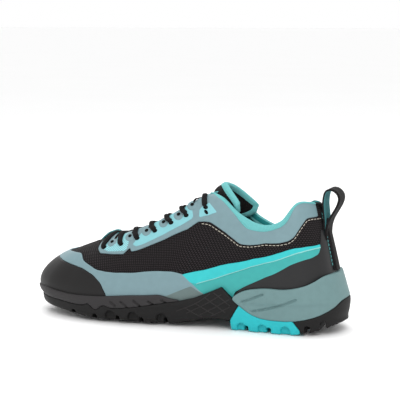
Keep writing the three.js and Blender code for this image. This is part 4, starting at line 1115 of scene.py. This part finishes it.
def engraved(tree, line, width, depth, way):
    """A tool that cuts a narrow groove along a side line, into the wall of the sole."""
    path = spline(side(line), 14)
    tangent = unit(np.gradient(path, axis=0))
    across = np.stack([-tangent[:, 1], tangent[:, 0]], -1)
    points = []
    for (x, z), (ax, az) in zip(path, across):
        y = surface_y(tree, x, z, way)
        if y is None:
            continue
        for share, out in ((-0.5, 4), (0.5, 4), (0.5, -depth), (-0.5, -depth)):
            points.append((x + ax * width * share, y + way * out, z + az * width * share))
    rows = len(points) // 4
    faces = grid_faces(rows, 4, ring_columns=True).tolist()
    faces += [[3, 2, 1, 0], [4 * rows - 4, 4 * rows - 3, 4 * rows - 2, 4 * rows - 1]]
    return solid("groove", points, faces)


def arch(tree, x, wide, high, depth, way):
    """A tool that cuts an arched recess into the foot of a lug."""
    base = float(ground_at(np.array(x), 1.0)) - 1
    outline = [(-wide / 2, -1), (-wide / 2, high * 0.5)]
    outline += [(-wide / 2 * math.cos(a), high * (0.5 + 0.5 * math.sin(a)))
                for a in np.linspace(0.3, math.pi - 0.3, 7)]
    outline += [(wide / 2, high * 0.5), (wide / 2, -1)]
    y = surface_y(tree, x, base + 3, way)
    n = len(outline)
    points = [(x + u, y + way * out, base + v) for out in (-depth, 6) for u, v in outline]
    faces = [list(range(n))[::-1], list(range(n, 2 * n))]
    faces += [[i, (i + 1) % n, n + (i + 1) % n, n + i] for i in range(n)]
    return solid("arch", points, faces)


SIDE_SLOTS = [(0.694, 0.79, 0.021, 0.2), (0.66, 0.81, 0.023, 0.22), (0.62, 0.86, 0.028, 0.24),
              (0.576, 0.87, 0.03, 0.22), (0.536, 0.93, 0.026, 0.18)]
WEDGE_GROOVES = [[(0.293, 1), (0.262, 1.13), (0.221, 1.34)],
                 [(0.262, 0.72), (0.221, 0.82), (0.17, 1), (0.121, 1.24)]]
GRID_LINES = [
    [(0.43, 0.86), (0.395, 0.62), (0.37, 0.5)], [(0.405, 1.1), (0.37, 0.84), (0.34, 0.6)],
    [(0.375, 1.26), (0.345, 1.03), (0.325, 0.85)], [(0.465, 0.7), (0.43, 0.48), (0.41, 0.4)],
    [(0.325, 0.82), (0.36, 0.6), (0.385, 0.46)], [(0.325, 1.08), (0.37, 0.78), (0.42, 0.46)],
    [(0.35, 1.22), (0.4, 0.86), (0.46, 0.5)], [(0.385, 1.22), (0.43, 0.86), (0.49, 0.56)]]
FRONT_ARCHES = [0.695, 0.6235, 0.536]
BLOCK_ARCHES = [0.292, 0.228, 0.158]

blank = stacked("blank", sole_rings(), 40,
                lambda x, across: float(ground_at(np.array(x), np.array(across))))
cup = cup_solid()

blank_points = np.array([tuple(v.co) for v in blank.data.vertices]) / MM - SHIFT
tree = BVHTree.FromPolygons(blank_points.tolist(), [list(f.vertices) for f in blank.data.polygons])
slots = [engraved(tree, [(along, level), (along - forward, level - drop)], 1.7, 2.0, way)
         for along, level, forward, drop in SIDE_SLOTS for way in (1, -1)]
moulded_piece("midsole_foam", blank, curved(MIDSOLE_RIM) + curved(OUTSOLE_TOP)[::-1],
              [copied(cup), *slots], BLACK_FOAM, "black_foam", "midsole", 0.75)
moulded_piece(
    "forefoot_rubber", blank,
    curved(OUTSOLE_TOP) + side(ARCH_WING) + curved(ARCH_UNDER)
    + side([(0.53, BELOW), (BEYOND, BELOW)]),
    [copied(cup), *chevrons([0.81, 0.735, 0.66, 0.585, 0.51]), *lengthwise(0.5, 0.83, 38),
     *[arch(tree, at * LENGTH, 9, 9, 3.2, way) for at in FRONT_ARCHES for way in (1, -1)]],
    RUBBER, "rubber", "outsole_forefoot", 0.85)
moulded_piece(
    "heel_wedge_foam", blank, curved(WEDGE_TOP) + curved(WEDGE_UNDER),
    [copied(cup), *[engraved(tree, line, 1.7, 1.9, way)
                    for line in WEDGE_GROOVES for way in (1, -1)]],
    GREY_FOAM, "foam", "heel_wedge", 0.75)
moulded_piece(
    "heel_block_rubber", blank,
    curved(WEDGE_UNDER)[5 * LINE_STEPS:] + side(ARCH_WING[4:])
    + side([(0.325, BELOW)]) + side(BLOCK_REAR)[::-1],
    [copied(cup), *chevrons([0.262, 0.193]), *lengthwise(0.1, 0.35, 26),
     *[arch(tree, at * LENGTH, 8, 8, 3, way) for at in BLOCK_ARCHES for way in (1, -1)]],
    TURQUOISE_RUBBER, "turquoise_rubber", "heel_block", 0.8)
moulded_piece(
    "heel_rubber", blank,
    curved(WEDGE_UNDER)[:5 * LINE_STEPS - 2] + side(BLOCK_REAR) + side([(-0.04, BELOW)]),
    [copied(cup), *chevrons([0.078, 0.036])], RUBBER, "rubber", "outsole_heel", 0.8)
bpy.data.objects.remove(blank)
bpy.data.objects.remove(cup)


def raised_lines(name, lines, wide, high, material, slot):
    """Low moulded ribs along side lines, on both walls of the sole."""
    points, faces, uvs, start = [], [], [], 0
    for line in lines:
        for way in (1, -1):
            path = [(x, surface_y(tree, x, z, way), z) for x, z in spline(side(line), 24)]
            path = np.array([p for p in path if p[1] is not None])
            normals = np.tile([0.0, way, 0.2], (len(path), 1))
            tube = ribbon(path, unit(normals), wide, high, 8)
            faces.append(grid_faces(*tube.shape[:2], ring_columns=True) + start)
            points.append(tube.reshape(-1, 3))
            uvs.append(lengths_uv(tube).reshape(-1, 2))
            start += len(points[-1])
    obj = make(name, np.concatenate(points), np.concatenate(faces), material,
               np.concatenate(uvs))
    return piece(obj, slot)


# Painted highlight: the ribs' lighter colour stands in for light catching their raised crests
raised_lines("arch_wing_ribs", GRID_LINES, 0.45, 0.35, HIGHLIT_RUBBER_RIB, "rubber")


# ---------------------------------------------------------------- insole
def insole():
    turn = turns(140)
    foot_x, foot_y = ring_at(turn)[:2]
    out = outward_at(turn)
    rows = []
    for inset, lift in ((3.6, 0.3), (3.2, 1.4), (3.2, 2.8), (3.9, INSOLE)):
        ring = np.stack([foot_x, foot_y, 0 * foot_x], -1) - out * inset
        ring[:, 2] = bed_at(ring[:, 0]) + lift
        rows.append(ring)
    centre = rows[-1].copy()
    for share in (0.75, 0.5, 0.25, 0.02):
        ring = rows[-1].copy() if share == 0.75 else centre.copy()
        ring[:, 1] = centre[:, 1] * share
        ring[:, 2] = bed_at(ring[:, 0]) + INSOLE - 0.8 * (1 - share)
        rows.append(ring)
    points = np.stack(rows)
    obj = make("insole_board", points, grid_faces(*points.shape[:2], ring_columns=True), BOARD,
               points[..., :2] * 1.0, flip=True)
    return piece(obj, "board", "insole")


insole()


# ---------------------------------------------------------------- stitches
def stitches(name, line, normals, material, slot, pitch=3.2, long=1.9, radius=0.3):
    """Short raised threads along a line of points."""
    way = np.concatenate([[0], np.cumsum(np.linalg.norm(np.diff(line, axis=0), axis=1))])
    starts = np.arange(0, way[-1] - long, pitch)
    shares = np.linspace(0, 1, 6)
    hump = np.array([-0.6, 0.5, 1, 1, 0.5, -0.6]) * radius
    points, faces, uvs = [], [], []
    for k, begin in enumerate(starts):
        at = begin + shares * long
        path = np.stack([np.interp(at, way, line[:, c]) for c in range(3)], -1)
        normal = unit(np.stack([np.interp(at, way, normals[:, c]) for c in range(3)], -1))
        tube = ribbon(path + normal * hump[:, None], normal, radius, radius, 6)
        points.append(tube.reshape(-1, 3))
        uvs.append(lengths_uv(tube).reshape(-1, 2))
        faces.append(grid_faces(6, 6, ring_columns=True) + k * 36)
    obj = make(name, np.concatenate(points), np.concatenate(faces), material,
               np.concatenate(uvs))
    return piece(obj, slot)


def flank_line(rows, inset, lift, count=400):
    table = np.array(sorted(rows))
    turn = np.linspace(table[0, 0], table[-1, 0], count)
    up = np.mean([np.interp(turn + o, table[:, 0], table[:, 1])
                  for o in np.linspace(-0.006, 0.006, 5)], axis=0) + inset
    return skin(turn, up, np.full(count, lift)), last_normal(turn, up)


STITCH_LINE = [(0.048, 0.738), (0.105, 0.728), (0.132, 0.708), (0.16, 0.64), (0.185, 0.58),
               (0.205, 0.573), (0.221, 0.585), (0.259, 0.615), (0.291, 0.636), (0.347, 0.611),
               (0.373, 0.6), (0.4, 0.625), (0.43, 0.645), (0.486, 0.65), (0.522, 0.635)]
for side_name, placed in (("inner", list), ("outer", on_outer_side)):
    stitches(f"collar_stitches_{side_name}",
             *flank_line(placed([(t, u, u) for t, u in STITCH_LINE]), 0, 0.15), THREAD_PALE, "binding")
    strap_edge = [(0.038, 0.4 + 0.02 * k) for k in range(22)]
    at = np.array([(t if side_name == "inner" else 2 - t, u) for t, u in strap_edge])
    stitches(f"strap_stitches_{side_name}", skin(at[:, 0], at[:, 1], np.full(len(at), 1.3)),
             last_normal(at[:, 0], at[:, 1]), THREAD_TEAL, "binding")


# ---------------------------------------------------------------- floor, light and camera
def area_light(name, place, size, power, target=(0, 0, 0.05)):
    data = bpy.data.lights.new(name, "AREA")
    data.shape = "DISK"
    data.size = size
    data.energy = power
    lamp = bpy.data.objects.new(name, data)
    lamp.location = place
    direction = np.array(target) - np.array(place)
    lamp.rotation_euler = direction_to_euler(direction)
    bpy.context.collection.objects.link(lamp)


def direction_to_euler(direction):
    return Vector(direction).to_track_quat("-Z", "Y").to_euler()


bpy.ops.mesh.primitive_plane_add(size=60)
floor = bpy.context.object
floor.name = "floor"
floor_look = Look("floor", "fcfcfc", 0.6)
floor_look.tint(floor_look.noise(300, 1), 0.99, 1.0)
floor.data.materials.append(floor_look.material)

world = bpy.data.worlds.new("studio")
world.use_nodes = True
world.node_tree.nodes["Background"].inputs["Color"].default_value = (1, 1, 1, 1)
world.node_tree.nodes["Background"].inputs["Strength"].default_value = 1.0
bpy.context.scene.world = world
area_light("key", (-0.5, 1.1, 1.1), 0.9, 9)
area_light("top", (0.1, -0.2, 1.4), 1.2, 7)
area_light("rim", (0.7, -0.9, 0.8), 0.6, 3)
bpy.context.scene.view_settings.view_transform = "Standard"

CAMERA_PLACE = (-0.4007, 1.0209, 0.2555)
CAMERA_LOOK = (0.355, -0.925, -0.139)
FOCAL_PIXELS = 1300
FRAME_PIXELS = 400
camera_data = bpy.data.cameras.new("camera")
camera_data.sensor_width = 36
camera_data.lens = FOCAL_PIXELS / FRAME_PIXELS * camera_data.sensor_width
camera = bpy.data.objects.new("camera", camera_data)
camera.location = CAMERA_PLACE
camera.rotation_euler = direction_to_euler(CAMERA_LOOK)
bpy.context.collection.objects.link(camera)
bpy.context.scene.camera = camera
